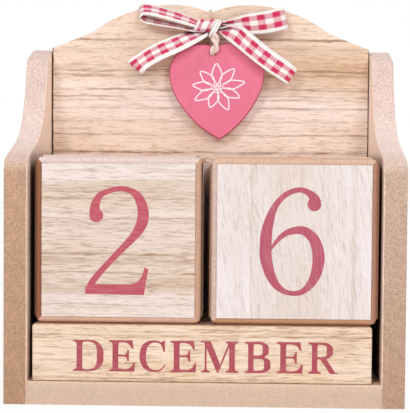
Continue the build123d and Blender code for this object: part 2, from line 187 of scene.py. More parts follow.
paper = bpy.data.materials.new("floor_paper")
paper.use_nodes = True
tree = paper.node_tree
tree.nodes.clear()
matt = node(tree, "ShaderNodeBsdfDiffuse", {0: FLOOR_COLOUR})
glow = node(tree, "ShaderNodeEmission", {0: (1, 1, 1, 1), 1: 1.0})
share = product(tree, seen_directly(tree), FLOOR_WHITENESS)
mixed = node(tree, "ShaderNodeMixShader", {0: share, 1: matt.outputs[0], 2: glow.outputs[0]})
node(tree, "ShaderNodeOutputMaterial", {0: mixed.outputs[0]})
floor.data.materials.append(paper)
print("floor", FLOOR_SIZE, "m wide")

# %% Lamps
LAMPS = [
    # name, place in metres, size in metres, power in watts
    ("left_key", (-0.36, -1.0, 0.50), 0.3, 3.3),
    ("right_key", (0.36, -1.0, 0.50), 0.3, 3.3),
    ("left_wing", (-0.80, -0.35, 1.0), 0.5, 3.6),
    ("right_wing", (0.80, -0.35, 1.0), 0.5, 3.6),
    ("sky", (0.0, 0.05, 1.1), 0.6, 1.0),
    ("back", (0.30, 1.10, 0.60), 0.8, 4.5),
]
AIM = Vector((0, 0, 0.06))  # the middle of the calendar

for name, place, size, power in LAMPS:
    lamp = bpy.data.objects.new(name, bpy.data.lights.new(name, "AREA"))
    lamp.data.shape = "DISK"
    lamp.data.size = size
    lamp.data.energy = power
    lamp.location = place
    lamp.rotation_euler = (AIM - lamp.location).to_track_quat("-Z", "Y").to_euler()
    bpy.context.scene.collection.objects.link(lamp)
print("lamps", [name for name, *_ in LAMPS])

bpy.context.scene.view_settings.view_transform = "Standard"

# %% [markdown]
# ## Pressed board
# The tray and the cores of the cubes are fibreboard: an even brown made of short fibres,
# with fine speckle, a soft mottle a few millimetres wide and a faint felt-like bump. Noise
# at three sizes on the object's own coordinates gives that on every side of a board, with
# no seam to hide. Each board's tone also changes with the height and the side, and holds
# painted light and shade: paler arms and upper edges, darker insides and sides next to a
# panel. So each board brings its own function for that.


# %% Pressed board material
def new_material(name, roughness, specular=0.35):
    """A material with one shader, whose plain numbers are set on its own sockets."""
    material = bpy.data.materials.new(name)
    material.use_nodes = True
    shader = material.node_tree.nodes["Principled BSDF"]
    shader.inputs["Roughness"].default_value = roughness
    shader.inputs["Specular IOR Level"].default_value = specular
    return material, material.node_tree, shader


def vector_node(tree, operation, inputs):
    return node(tree, "ShaderNodeVectorMath", inputs, operation=operation).outputs[0]


def millimetres(tree):
    """Object coordinates in millimetres."""
    place = node(tree, "ShaderNodeTexCoord").outputs["Object"]
    return vector_node(tree, "SCALE", {0: place, "Scale": 1 / MM})


def parts_of(tree, place):
    """The three numbers of a place."""
    return node(tree, "ShaderNodeSeparateXYZ", {0: place}).outputs


def mapped(tree, value, start, end, low=0.0, high=1.0):
    """Low where a value is at start, high where it is at end, and no further beyond them."""
    return node(tree, "ShaderNodeMapRange", {0: value, 1: start, 2: end, 3: low, 4: high}).outputs[0]


def noise(tree, place, scale, detail, roughness=0.5, shift=(0, 0, 0)):
    """Noise from 0 to 1 whose size along each axis is one over scale, in millimetres."""
    moved = vector_node(tree, "MULTIPLY_ADD", {0: place, 1: scale, 2: shift})
    return node(
        tree,
        "ShaderNodeTexNoise",
        {"Vector": moved, "Scale": 1.0, "Detail": detail, "Roughness": roughness},
        noise_dimensions="3D",
    ).outputs["Fac"]


def ramp(tree, factor, *stops):
    """Greys that follow a factor. Each stop is a place from 0 to 1 and how bright it is there."""
    made = node(tree, "ShaderNodeValToRGB", {0: factor})
    points = made.color_ramp.elements
    while len(points) < len(stops):
        points.new(1.0)
    for point, (place, value) in zip(points, stops):
        point.position = place
        point.color = (value, value, value, 1.0)
    return made.outputs[0]


def blend_colours(tree, factor, first, second, kind="MIX"):
    return node(
        tree, "ShaderNodeMix", {0: factor, 6: first, 7: second}, data_type="RGBA", blend_type=kind
    ).outputs[2]


def add_bump(tree, shader, height, distance):
    """Distance is the depth of the relief in millimetres."""
    bump = node(tree, "ShaderNodeBump", {"Height": height, "Strength": 1.0, "Distance": distance * MM})
    tree.links.new(bump.outputs[0], shader.inputs["Normal"])


def level_tone(tree, place, levels, below, above):
    """One tone below a height, another above it. Levels are where the change starts and ends."""
    return blend_colours(tree, mapped(tree, parts_of(tree, place)[2], *levels), below, above)


SIDE_BLEND = 1.0  # mm from the middle, over which left goes over into right
MITRE_BLEND = 0.3


def side_tone(tree, place, centre, tones):
    """A tone for each of the four sides seen from the front: left, right, bottom and top."""
    parts = parts_of(tree, vector_node(tree, "SUBTRACT", {0: place, 1: centre}))
    sideways = blend_colours(tree, mapped(tree, parts[0], -SIDE_BLEND, SIDE_BLEND), *tones[:2])
    upright = blend_colours(tree, mapped(tree, parts[2], -SIDE_BLEND, SIDE_BLEND), *tones[2:])
    flat = [math_node(tree, "ABSOLUTE", parts[axis]) for axis in (0, 2)]
    upward = math_node(tree, "SUBTRACT", flat[1], flat[0])
    return blend_colours(tree, mapped(tree, upward, -MITRE_BLEND, MITRE_BLEND), sideways, upright)


# How fine each noise is, per millimetre, and how much darker it makes a board.
MOTTLE_SCALE, MOTTLE_SHADE = (0.22, 0.22, 0.22), 0.04
FIBRE_SCALE, FIBRE_SHADE = (1.7, 1.7, 1.7), 0.20
FLECK_SCALE, FLECK_SHADE = (3.1, 3.1, 3.1), 0.18
SHADE_RETURNED = 0.13  # what they take from a tone on the whole


def pressed_board(name, tone_of, depth):
    """Pressed board. tone_of gives the board's own colour from the place on it."""
    material, tree, shader = new_material(name, roughness=0.8, specular=0.2)
    place = millimetres(tree)
    mottle = noise(tree, place, MOTTLE_SCALE, detail=4, roughness=0.6)
    fibres = noise(tree, place, FIBRE_SCALE, detail=3, roughness=0.7, shift=(7, 3, 1))
    flecks = noise(tree, place, FLECK_SCALE, detail=2, roughness=0.6)
    shade = product(
        tree,
        ramp(tree, mottle, (0.3, 1 - MOTTLE_SHADE * depth), (0.7, 1)),
        ramp(tree, fibres, (0.3, 1 - FIBRE_SHADE * depth), (0.62, 1)),
        ramp(tree, flecks, (0.3, 1 - FLECK_SHADE * depth), (0.5, 1)),
        1 + SHADE_RETURNED * depth,
    )
    colour = vector_node(tree, "SCALE", {0: tone_of(tree, place), "Scale": shade})
    tree.links.new(colour, shader.inputs["Base Color"])
    tree.links.new(ramp(tree, fibres, (0.3, 0.72), (0.7, 0.88)), shader.inputs["Roughness"])
    add_bump(tree, shader, math_node(tree, "ADD", fibres, flecks), distance=0.08)
    return material


# The foot of each side panel, at the floor and at the shoulder.
FOOT_TONES = {
    "left": (linear(185, 147, 117), linear(198, 159, 133)),
    "right": (linear(188, 153, 129), linear(205, 174, 154)),
}
# Painted light: the curve above the shoulder and the arms are paler than the feet.
CURVE_PAINTED_LIGHT = linear(238, 214, 205)
ARM_PAINTED_LIGHT = linear(228, 201, 191)
# Inside a panel: painted light near its front edge and above the shoulder, and painted shade deeper in,
# beside the cubes.
INSIDE_PAINTED_LIGHT = linear(254, 230, 213)
INSIDE_PAINTED_SHADE = linear(104, 75, 58)
# Where one tone of a side panel goes over into the next, in millimetres.
FOOT_LEVELS = (6, 70)
SHOULDER_LEVELS = (70, 77)
ARM_LEVELS = (82, 92)
INSIDE_LIGHT_LEVELS = (71, 76)
INSIDE_LIGHT_AHEAD = (-20, -24)
INNER_SIDE = (53.35, 53.15)  # from the middle of the tray


def panel_tone(side):
    """Painted light makes the curve and the arms paler than the feet. Inside, painted light lies near the
    front and above the shoulder, and painted shade deeper in.
    """

    def tone(tree, place):
        foot = level_tone(tree, place, FOOT_LEVELS, *FOOT_TONES[side])
        arm_outside = level_tone(tree, place, ARM_LEVELS, CURVE_PAINTED_LIGHT, ARM_PAINTED_LIGHT)
        outside = level_tone(tree, place, SHOULDER_LEVELS, foot, arm_outside)
        parts = parts_of(tree, place)
        inward = mapped(tree, math_node(tree, "ABSOLUTE", parts[0]), *INNER_SIDE)
        # inside: painted shade deeper in, painted light near the front and above the shoulder
        low = blend_colours(tree, mapped(tree, parts[1], *INSIDE_LIGHT_AHEAD), INSIDE_PAINTED_SHADE, INSIDE_PAINTED_LIGHT)
        inside = level_tone(tree, place, INSIDE_LIGHT_LEVELS, low, INSIDE_PAINTED_LIGHT)
        return blend_colours(tree, inward, outside, inside)

    return tone


# The base is paler above these heights: painted light on its upper edge.
BASE_LIGHT_LEVELS = (4.5, 7.5)
BASE_TONE_AND_LIGHT = (linear(212, 184, 164), linear(224, 196, 173))


def base_tone(tree, place):
    return level_tone(tree, place, BASE_LIGHT_LEVELS, *BASE_TONE_AND_LIGHT)


# Left, right, bottom and top of each cube's core, with painted light and shade in them: darkest on the side
# next to a panel.
CORE_LIGHT_AND_SHADE = {
    "left": (linear(154, 101, 72), linear(206, 165, 141), linear(226, 186, 163), linear(226, 202, 196)),
    "right": (linear(218, 190, 178), linear(181, 136, 114), linear(203, 154, 122), linear(216, 178, 155)),
}


def core_tone_with_shade(cube):
    low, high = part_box(f"{cube}_cube_core")
    centre = (low + high) / 2 / MM
    return lambda tree, place: side_tone(tree, place, centre, CORE_LIGHT_AND_SHADE[cube])


def finish_node(name, material):
    """Gives a CAD node its material and leaves its shape alone."""
    slots = nodes[name].data.materials
    slots.clear()
    slots.append(material)


for side in ("left", "right"):
    finish_node(f"{side}_side_panel", pressed_board(f"{side}_panel_board", panel_tone(side), depth=1.7))
finish_node("base_board", pressed_board("base_board_face", base_tone, depth=0.8))
for cube in ("left", "right"):
    finish_node(f"{cube}_cube_core", pressed_board(f"{cube}_core_board", core_tone_with_shade(cube), depth=1.2))
print("pressed board on 5 nodes")

# %% [markdown]
# ## Wood with an open grain
# The back panel, the bars and the squares on the cubes are a light wood with fine pores, as
# paulownia or ash has. Sawn flat, it shows long wavy lines, wider tan bands where the rings
# lie close, and short dark dashes where pores are cut open. The grain is drawn in the
# board's own directions, along, across and through it, in millimetres. Each noise is
# stretched along the grain, and what is across is bent by a slow noise first, so that all
# the lines wave together. The streaks, tan bands and the browner patch that a board is
# known by are placed one by one.


# %% Wood material
PALE, TAN, FIBRE, STREAK, PORE = range(5)
# The sides of a square: a sawn edge, darkened to a core's shaded tone, so partly painted shade.
SAWN_EDGE_AND_SHADE = linear(150, 106, 80)
# Painted shadow for ragged lines at ends of the grain, in the gaps at the next part.
END_SHADOW_TONE = linear(96, 66, 46)
# How fine the grain's noises are, per millimetre along, across and through the board.
BEND_SCALE = (0.016, 0.045, 0.05)
WAVE_SCALE = (0.06, 0.30, 0.1)
JAG_SCALE = (0.30, 0.45, 0.2)
RING_SCALE = (0.008, 0.22, 0.04)
LINE_SCALE = (0.04, 1.0, 0.3)
GRAIN_SCALE = (0.17, 2.3, 0.8)
PORE_SCALE = (0.28, 3.1, 1.0)
CLOUD_SCALE = (0.03, 0.08, 0.03)
BREAK_SCALE = (0.06, 0.25, 0.1)
RAGGED_SCALE = (0.6, 0.5, 0.6)
# How far a line of the grain waves, and the edge of a streak strays, in millimetres.
WAVE_REACH = 0.15
JAG_REACH = 0.42
# How strong the rings and lines, the fibres and pores, and the worn spots of an ink are.
RING_STRENGTH = 0.6
FIBRE_STRENGTH = 0.9
INK_WEAR = 0.6
CLOUD_TAN = 0.25  # how far a cloud makes a zone more or less tan


def place_from(tree, along, across, through):
    return node(tree, "ShaderNodeCombineXYZ", {0: along, 1: across, 2: through}).outputs[0]


def bent_by(tree, place, scale, reach, shift):
    """Pushes what is across to and fro by a noise, so far in millimetres."""
    parts = parts_of(tree, place)
    push = math_node(tree, "SUBTRACT", noise(tree, place, scale, detail=2, shift=shift), 0.5)
    across = math_node(tree, "ADD", parts[1], product(tree, push, 2 * reach))
    return place_from(tree, parts[0], across, parts[2])


def grain_places(tree, directions, shift, bend):
    """Two places in the board, along, across and through it: smoothly bent, and jagged."""
    parts = parts_of(tree, millimetres(tree))
    plain = place_from(tree, *(parts["XYZ".index(axis)] for axis in directions))
    smooth = bent_by(tree, plain, BEND_SCALE, bend, shift)
    smooth = bent_by(tree, smooth, WAVE_SCALE, WAVE_REACH, shift)
    return smooth, bent_by(tree, smooth, JAG_SCALE, JAG_REACH, shift)


STREAKS_PER_RAMP = 9  # a colour ramp holds 32 stops, and a streak takes three


def streak_strength(tree, place, streaks):
    """The strength of the streaks, each (place across in mm, half its width, strength)."""
    across = parts_of(tree, place)[1]
    ordered = sorted(streaks)
    strongest = None
    for first in range(0, len(ordered), STREAKS_PER_RAMP):
        group = ordered[first : first + STREAKS_PER_RAMP]
        low = min(s[0] - s[1] for s in group) - 1
        high = max(s[0] + s[1] for s in group) + 1
        share = mapped(tree, across, low, high)
        stops = []
        for centre, half, strength in group:
            for edge, value in ((centre - half, 0), (centre, strength), (centre + half, 0)):
                stops.append(((edge - low) / (high - low), value))
        own = ramp(tree, share, *stops)
        strongest = own if strongest is None else math_node(tree, "MAXIMUM", strongest, own)
    return strongest


def zone_share(tree, place, zones, clouds):
    """How tan the wood is across the board, by zones of (place in mm, share), less a cloud."""
    low, high = zones[0][0], zones[-1][0]
    share = mapped(tree, parts_of(tree, place)[1], low, high)
    tan = ramp(tree, share, *(((at - low) / (high - low), value) for at, value in zones))
    cloudy = mapped(tree, clouds, 0.35, 0.65, -CLOUD_TAN, CLOUD_TAN)
    return node(tree, "ShaderNodeClamp", {0: math_node(tree, "ADD", tan, cloudy)}).outputs[0]


def wood(
    name,
    directions,
    tones,
    streaks,
    seed,
    bend,
    contrast=1.0,
    slant=0.0,
    zones=None,
    edge=None,
    edge_tone=SAWN_EDGE_AND_SHADE,
    end_shadows=(),
    stain=None,
    ink=None,
):
    """Open-grained wood. Directions are the board's axes along, across and through it.

    Bend is how far the grain wanders, in millimetres, and slant leans its fibres. Edge is a
    square's middle, its way out and half its side. Painted shadow lines lie at ends of the
    grain, where a gap meets the next part, each as (place along, way inward, depth). A stain is
    an oval of browner wood: its middle, its reach and its tone. With ink, the same grain shows through a
    printed film.
    """
    material, tree, shader = new_material(name, roughness=0.6, specular=0.25)
    shift = (seed * 3.7, seed * 5.3, seed * 1.9)
    place, jagged = grain_places(tree, directions, shift, bend)
    leaning = lean_places(tree, place, slant) if slant else place
    rings = noise(tree, place, RING_SCALE, detail=3, roughness=0.6, shift=shift)
    lines = noise(tree, leaning, LINE_SCALE, detail=4, roughness=0.65, shift=shift)
    fibres = noise(tree, leaning, GRAIN_SCALE, detail=2, roughness=0.6, shift=shift)
    hairs = noise(tree, leaning, PORE_SCALE, detail=2, roughness=0.6, shift=shift[::-1])
    clouds = noise(tree, place, CLOUD_SCALE, detail=3, shift=shift)
    breaks = noise(tree, place, BREAK_SCALE, detail=3, roughness=0.6, shift=shift[::-1])
    if zones:
        tan_share = zone_share(tree, place, zones, clouds)
    else:
        tan_share = ramp(tree, clouds, (0.40, 0), (0.60, 1))
    pale = blend_colours(tree, tan_share, *tones[PALE])
    ring_share = ramp(tree, rings, (0.50, 0), (0.70, RING_STRENGTH * contrast))
    ringed = blend_colours(tree, ring_share, pale, tones[TAN])
    line_share = ramp(tree, lines, (0.50, 0), (0.66, RING_STRENGTH * contrast))
    lined = blend_colours(tree, line_share, ringed, tones[TAN])
    coarse = ramp(tree, tan_share, (0.0, 0.6), (0.6, 1))  # sapwood is finer
    fibre = product(tree, ramp(tree, fibres, (0.53, 0), (0.66, FIBRE_STRENGTH * contrast)), coarse)
    fibred = blend_colours(tree, fibre, lined, tones[FIBRE])
    streak = product(
        tree,
        streak_strength(tree, jagged, streaks),
        ramp(tree, fibres, (0.32, 0.25), (0.52, 1)),
        ramp(tree, breaks, (0.40, 0.35), (0.56, 1)),
    )
    streaked = blend_colours(tree, streak, fibred, tones[STREAK])
    pores = product(
        tree,
        ramp(tree, hairs, (0.60, 0), (0.68, FIBRE_STRENGTH * contrast)),
        ramp(tree, rings, (0.35, 0.4), (0.6, 1)),
        coarse,
    )
    colour = blend_colours(tree, pores, streaked, tones[PORE])
    if stain:
        browned = blend_colours(tree, 1.0, colour, stain[2], kind="MULTIPLY")
        colour = blend_colours(tree, spot_share(tree, place, *stain[:2]), colour, browned)
    if edge:
        colour = blend_colours(tree, beyond_square(tree, *edge), colour, edge_tone)
    # painted shadow lines at ends of the grain
    for end_shadow in end_shadows:
        colour = blend_colours(tree, near_end(tree, place, *end_shadow), colour, END_SHADOW_TONE)
    if ink:
        worn = product(tree, ramp(tree, fibres, (0.46, 0), (0.75, 1)), INK_WEAR)
        colour = blend_colours(tree, worn, *ink)
    tree.links.new(colour, shader.inputs["Base Color"])
    tree.links.new(ramp(tree, lines, (0.3, 0.55), (0.7, 0.72)), shader.inputs["Roughness"])
    relief = math_node(tree, "ADD", fibres, product(tree, pores, -0.8))  # pores are hollows
    add_bump(tree, shader, relief, distance=0.03)
    return material


def lean_places(tree, place, slant):
    """Leans what runs along, by slant millimetres across for each millimetre along."""
    parts = parts_of(tree, place)
    across = math_node(tree, "ADD", parts[1], product(tree, parts[0], slant))
    return place_from(tree, parts[0], across, parts[2])


def spot_share(tree, place, middle, reach):
    """1 near the middle of an oval, 0 beyond its reach, both given along and across."""
    away = vector_node(tree, "SUBTRACT", {0: place, 1: (*middle, 0)})
    scaled = vector_node(tree, "MULTIPLY", {0: away, 1: (1 / reach[0], 1 / reach[1], 0)})
    length = node(tree, "ShaderNodeVectorMath", {0: scaled}, operation="LENGTH").outputs["Value"]
    return mapped(tree, length, 0.3, 1.0, 1.0, 0.0)


def near_end(tree, place, end, way, depth):
    """1 within a ragged depth of one end of a board, 0 further in."""
    inward = product(tree, math_node(tree, "SUBTRACT", parts_of(tree, place)[0], end), way)
    ragged = product(tree, noise(tree, place, RAGGED_SCALE, detail=3), 2 * depth)
    return mapped(tree, math_node(tree, "SUBTRACT", inward, ragged), 0.1, -0.1)


def beyond_square(tree, middle, out, half):
    """1 on the thin sides of a square piece, 0 on its face."""
    parts = parts_of(tree, vector_node(tree, "SUBTRACT", {0: millimetres(tree), 1: middle}))
    flat = [math_node(tree, "ABSOLUTE", parts[i]) for i in range(3) if abs(out[i]) < 0.5]
    return mapped(tree, math_node(tree, "MAXIMUM", *flat), half - 0.03, half - 0.01)


# Pale sapwood twice, then tan heartwood, a fibre, a streak and an open pore.
BACK_TONES = [
    (linear(254, 240, 233), linear(244, 219, 198)),
    linear(241, 214, 192),
    linear(219, 189, 165),
    linear(136, 96, 68),
    linear(180, 143, 117),
]
BAR_TONES = [
    (linear(244, 221, 202), linear(237, 209, 180)),
    linear(222, 188, 154),
    linear(190, 152, 120),
    linear(166, 124, 90),
    linear(152, 112, 84),
]
LEFT_TONES = [
    (linear(239, 224, 219), linear(227, 204, 184)),
    linear(212, 186, 165),
    linear(189, 163, 146),
    linear(162, 122, 92),
    linear(168, 139, 121),
]
RIGHT_TONES = [
    (linear(240, 230, 231), linear(227, 210, 200)),
    linear(222, 206, 196),
    linear(204, 190, 185),
    linear(202, 178, 154),
    linear(174, 155, 146),
]

# Each streak is a place across the grain, half its width and its strength.
BACK_STREAKS = [
    (75.6, 0.7, 0.9),
    (81.3, 0.5, 0.7),
    (85.7, 0.4, 0.4),
    (90.2, 0.6, 0.65),
    (92.9, 0.5, 0.45),
    (94.2, 0.4, 0.65),
    (96.6, 0.6, 0.7),
    (101.2, 0.8, 0.65),
    (102.9, 0.9, 0.7),
    (104.6, 1.2, 0.35),
    (110.0, 1.5, 0.2),
    (113.2, 0.6, 0.9),
    (118.6, 0.5, 0.35),
]
# Each zone is a place across the grain and how tan the wood is there.
BACK_ZONES = [
    (66.0, 0.7),
    (76.0, 0.8),
    (82.0, 0.6),
    (86.0, 0.2),
    (92.0, 0.15),
    (95.0, 0.45),
    (98.5, 0.15),
    (101.0, 0.7),
    (104.0, 0.8),
    (110.0, 0.9),
    (125.0, 1.0),
]
# Painted shadow lines at both ends of the back panel, in the gaps at the side panels, deeper on the left.
BACK_END_SHADOWS = [(-52.75, 1, 0.35), (52.75, -1, 0.12)]
BACK_STAIN = ((36, 103), (34, 12), linear(237, 225, 209))
LYING_GRAIN = ("X", "Z", "Y")
BOARD_BEND = 0.9
finish_node(
    "back_panel",
    wood(
        "back_wood",
        LYING_GRAIN,
        BACK_TONES,
        BACK_STREAKS,
        seed=2,
        bend=BOARD_BEND,
        zones=BACK_ZONES,
        end_shadows=BACK_END_SHADOWS,
        stain=BACK_STAIN,
    ),
)

BAR_STREAKS = {
    "front": [(8.4, 0.5, 0.8), (11.3, 0.8, 0.25), (17.2, 0.4, 0.25), (21.2, 0.6, 0.8), (22.4, 0.8, 0.3)],
    "middle": [(9.0, 1.0, 0.5), (16.0, 1.5, 0.4), (20.5, 0.8, 0.5)],
    "rear": [(10.0, 0.8, 0.6), (13.0, 1.5, 0.4), (22.0, 1.0, 0.5)],
}
BAR_SEEDS = {"front": 11, "middle": 12, "rear": 13}


def bar_wood(bar, ink=None):
    """The wood of one bar, and with ink the wood seen through what is printed on it."""
    name = f"bar_ink_{bar}" if ink else f"bar_wood_{bar}"
    return wood(name, LYING_GRAIN, BAR_TONES, BAR_STREAKS[bar], BAR_SEEDS[bar], BOARD_BEND, ink=ink)


for bar in BAR_STREAKS:
    finish_node(f"month_bar_{bar}", bar_wood(bar))
print("wood on the back panel and", len(BAR_STREAKS), "bars")

# %% [markdown]
# ## Squares on the cubes
# Each side of a cube carries a thin square of the same wood. On the left cube the grain runs
# across, on the right cube it stands upright, and no two squares were cut from the same
# place, so each has a seed and streaks of its own. Which way a square faces is read from
# where it sits on its cube.

# %% Squares and which way they face
FACE_STREAKS = {
    ("left", 2): [
        (30.0, 0.5, 0.25),
        (36.4, 2.4, 0.45),
        (39.8, 0.5, 0.7),
        (43.4, 1.4, 0.6),
        (45.4, 0.6, 0.95),
        (50.6, 0.4, 0.5),
        (56.0, 0.5, 0.45),
        (61.9, 0.6, 0.85),
        (63.9, 0.5, 0.7),
    ],
    ("right", 6): [(14.1, 0.8, 0.6), (28.6, 0.7, 0.5), (36.5, 0.6, 0.3), (44.4, 0.9, 0.6)],
}
FACE_ZONES = {
    ("left", 2): [
        (26.0, 0.1),
        (33.0, 0.15),
        (36.0, 0.8),
        (46.0, 0.8),
        (49.0, 0.5),
        (57.0, 0.4),
        (61.0, 0.8),
        (64.5, 0.7),
        (66.5, 0.1),
        (74.0, 0.0),
    ],
    ("right", 6): [
        (2.0, 0.1),
        (12.0, 0.1),
        (18.0, 0.5),
        (24.0, 0.8),
        (33.0, 0.75),
        (38.0, 0.35),
        (44.0, 0.3),
        (50.0, 0.1),
    ],
}
CUBE_TONES = {"left": LEFT_TONES, "right": RIGHT_TONES}
# The sides of a top square take a core's paler top tone instead: painted light.
TOP_EDGE_PAINTED_LIGHT = {"left": linear(222, 198, 190), "right": linear(212, 176, 152)}
FACE_SEEDS = {"left": 20, "right": 30}
FACE_SLANTS = {"left": 0.0, "right": 0.16}
FACE_CONTRASTS = {"left": 1.0, "right": 0.75}
FACE_BEND = 0.8
FACE_END_SHADOW = 0.14  # mm deep, the painted shadow line at one end of each square on the left cube
AXES = {"X": Vector((1, 0, 0)), "Y": Vector((0, 1, 0)), "Z": Vector((0, 0, 1))}


def middle_of(name):
    low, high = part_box(name)
    return (low + high) / 2


def axis_name(direction):
    return max("XYZ", key=lambda axis: abs(AXES[axis].dot(direction)))


def facing(name, carrier):
    """The way out of a square: along the axis on which it lies furthest from its carrier."""
    offset = middle_of(name) - middle_of(carrier)
    axis = AXES[axis_name(offset)]
    return axis if axis.dot(offset) > 0 else -axis


def upright(out):
    """The way up of what is printed on a side of a cube: top and bottom read from the front."""
    if abs(out.z) > 0.5:
        return AXES["Y"] * out.z
    return AXES["Z"].copy()


def square_wood(cube, number, out, ink=None):
    """The wood of one square, and with ink the wood seen through what is printed on it."""
    up = upright(out)
    right = up.cross(out)
    along, across = (right, up) if cube == "left" else (up, right)
    directions = (axis_name(along), axis_name(across), axis_name(out))
    seed = FACE_SEEDS[cube] + number
    streaks = FACE_STREAKS.get((cube, number))
    if streaks is None:
        chance = random.Random(seed)
        middle = middle_of(f"{cube}_cube_core") / MM
        start = middle["XYZ".index(directions[1])]
        streaks = [
            (start + chance.uniform(-20, 20), chance.uniform(0.5, 1.0), chance.uniform(0.3, 0.7))
            for _ in range(4)
        ]
    name = f"{cube}_square_{number}" + ("_ink" if ink else "_wood")
    low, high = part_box(f"{cube}_cube_face_{number}")
    half = abs((high - low).dot(up)) / 2 / MM
    start = "XYZ".index(directions[0])
    return wood(
        name,
        directions,
        CUBE_TONES[cube],
        streaks,
        seed,
        FACE_BEND,
        contrast=FACE_CONTRASTS[cube],
        slant=FACE_SLANTS[cube],
        zones=FACE_ZONES.get((cube, number)),
        edge=((low + high) / 2 / MM, out, half),
        edge_tone=TOP_EDGE_PAINTED_LIGHT[cube] if out.z > 0.5 else SAWN_EDGE_AND_SHADE,
        end_shadows=[(low[start] / MM, 1, FACE_END_SHADOW)] if cube == "left" and not ink else (),
        ink=ink,
    )


CUBE_NUMBERS = {"left": (0, 1, 2, 3, 4, 5), "right": (0, 1, 2, 6, 7, 8)}
for cube, numbers in CUBE_NUMBERS.items():
    for number in numbers:
        out = facing(f"{cube}_cube_face_{number}", f"{cube}_cube_core")
        finish_node(f"{cube}_cube_face_{number}", square_wood(cube, number, out))
        print(cube, "cube,", number, "faces", tuple(round(v) for v in out))

# %% [markdown]
# ## Gingham
# The bow is tied from a cotton ribbon 7 mm wide: white selvages, two pink stripes along it
# and pink bands across it. Where stripe and band cross, every thread is pink, and the square
# is crimson. Where only one of them runs, pink and white threads alternate, which the eye
# sees as a fine slanting hatch. The ribbon's own UV map is in millimetres, along and across,
# so the pattern bends, narrows and folds with the cloth, as a woven one does.

# %% Gingham material
RIBBON_WIDTH = 7.0
SELVAGE = 1.15
STRIPE_CENTRES = (2.05, 4.95)
STRIPE_WIDTH = 1.5
BAND_PITCH = 5.2
HATCH_PITCH = 0.62
HATCH_SHARE = 0.56
HATCH_TINT = 0.25  # how pink a white thread looks between pink ones
THREAD_PITCH = 0.31
BAND_SOFT, STRIPE_SOFT, HATCH_SOFT = 0.08, 0.07, 0.09  # half the width of a soft edge
SELVAGE_TINT = 0.10  # how much of a band shows on the selvages
CREVICE_SHADE_REACH = 2.0 * MM
CRIMSON = linear(226, 60, 104)
DEEP_CRIMSON = linear(204, 44, 88)
COTTON_WHITE = linear(255, 250, 245)
# Painted shade in the bow's creases, where cloth lies close to cloth.
CREVICE_PAINTED_SHADE = linear(104, 48, 50)


def within(tree, value, centre, half, soft):
    """1 where a value is nearer to the centre than half, with a soft edge."""
    away = math_node(tree, "ABSOLUTE", math_node(tree, "SUBTRACT", value, centre))
    return mapped(tree, away, half + soft, half - soft)


def repeated(tree, value, pitch, share, soft):
    """1 over a share of each pitch, in its middle, and 0 over the rest."""
    past = math_node(tree, "FLOORED_MODULO", value, pitch)
    return within(tree, past, pitch / 2, pitch * share / 2, soft)


def gingham_material():
    material, tree, shader = new_material("gingham", roughness=0.85, specular=0.15)
    shader.inputs["Sheen Weight"].default_value = 0.25
    shader.inputs["Sheen Roughness"].default_value = 0.5
    parts = parts_of(tree, node(tree, "ShaderNodeUVMap", uv_map="ribbon").outputs[0])
    along, across = parts[0], parts[1]
    band = repeated(tree, along, BAND_PITCH, 0.5, BAND_SOFT)
    stripes = [within(tree, across, centre, STRIPE_WIDTH / 2, STRIPE_SOFT) for centre in STRIPE_CENTRES]
    stripe = math_node(tree, "MAXIMUM", *stripes)
    hatch = repeated(tree, math_node(tree, "ADD", along, across), HATCH_PITCH, HATCH_SHARE, HATCH_SOFT)
    body = within(tree, across, RIBBON_WIDTH / 2, RIBBON_WIDTH / 2 - SELVAGE, BAND_SOFT)
    band_seen = product(tree, band, mapped(tree, body, 0.0, 1.0, SELVAGE_TINT))
    pink = node(tree, "ShaderNodeMix", {0: hatch, 2: band_seen, 3: stripe}, data_type="FLOAT").outputs[0]
    tint = product(tree, math_node(tree, "MAXIMUM", band_seen, stripe), HATCH_TINT)
    pink = math_node(tree, "MAXIMUM", pink, tint)
    drift = noise(tree, millimetres(tree), (0.8, 0.8, 0.8), detail=3)
    dye = blend_colours(tree, drift, CRIMSON, DEEP_CRIMSON)
    colour = blend_colours(tree, pink, COTTON_WHITE, dye)
    # painted shade: darker where the ambient occlusion finds cloth close by
    openness = node(tree, "ShaderNodeAmbientOcclusion", {"Distance": CREVICE_SHADE_REACH}).outputs["AO"]
    shaded = blend_colours(tree, 1.0, colour, CREVICE_PAINTED_SHADE, kind="MULTIPLY")
    colour = blend_colours(tree, ramp(tree, openness, (0.3, 0), (0.8, 1)), shaded, colour)
    tree.links.new(colour, shader.inputs["Base Color"])
    threads = [math_node(tree, "SINE", product(tree, way, 2 * pi / THREAD_PITCH)) for way in (along, across)]
    add_bump(tree, shader, product(tree, *threads), distance=0.035)
    return material


gingham = gingham_material()
print("gingham squares", round(BAND_PITCH / 2, 2), "by", STRIPE_WIDTH, "mm")

# %% [markdown]
# ## A strip of ribbon
# A ribbon is a flat strip that can bend and twist but hardly stretches. It could be a curve
# with a flat bevel, but then both selvages would have to run side by side, and the gathers
# at the knot could not be shown. Here a grid is laid between two selvage lines, each a
# smooth line through given points. Where the strip is drawn into the knot, its
# selvages come closer, and the cloth between them goes into folds: a profile of heights
# across the strip, which fades out as it runs free.

# %% Strips between two selvages
CLOTH_THICKNESS = 0.22
PIECES_ALONG = 8
PIECES_ACROSS = 3


def through(points, pieces):
    """A smooth line through given points, in so many pieces between each two."""
    ends = [2 * points[0] - points[1], *points, 2 * points[-1] - points[-2]]
    line = [points[0]]
    for before, start, end, after in zip(ends, ends[1:], ends[2:], ends[3:]):
        away = start + (end - before) / 6
        back = end - (after - start) / 6
        line += interpolate_bezier(start, away, back, end, pieces + 1)[1:]
    return line


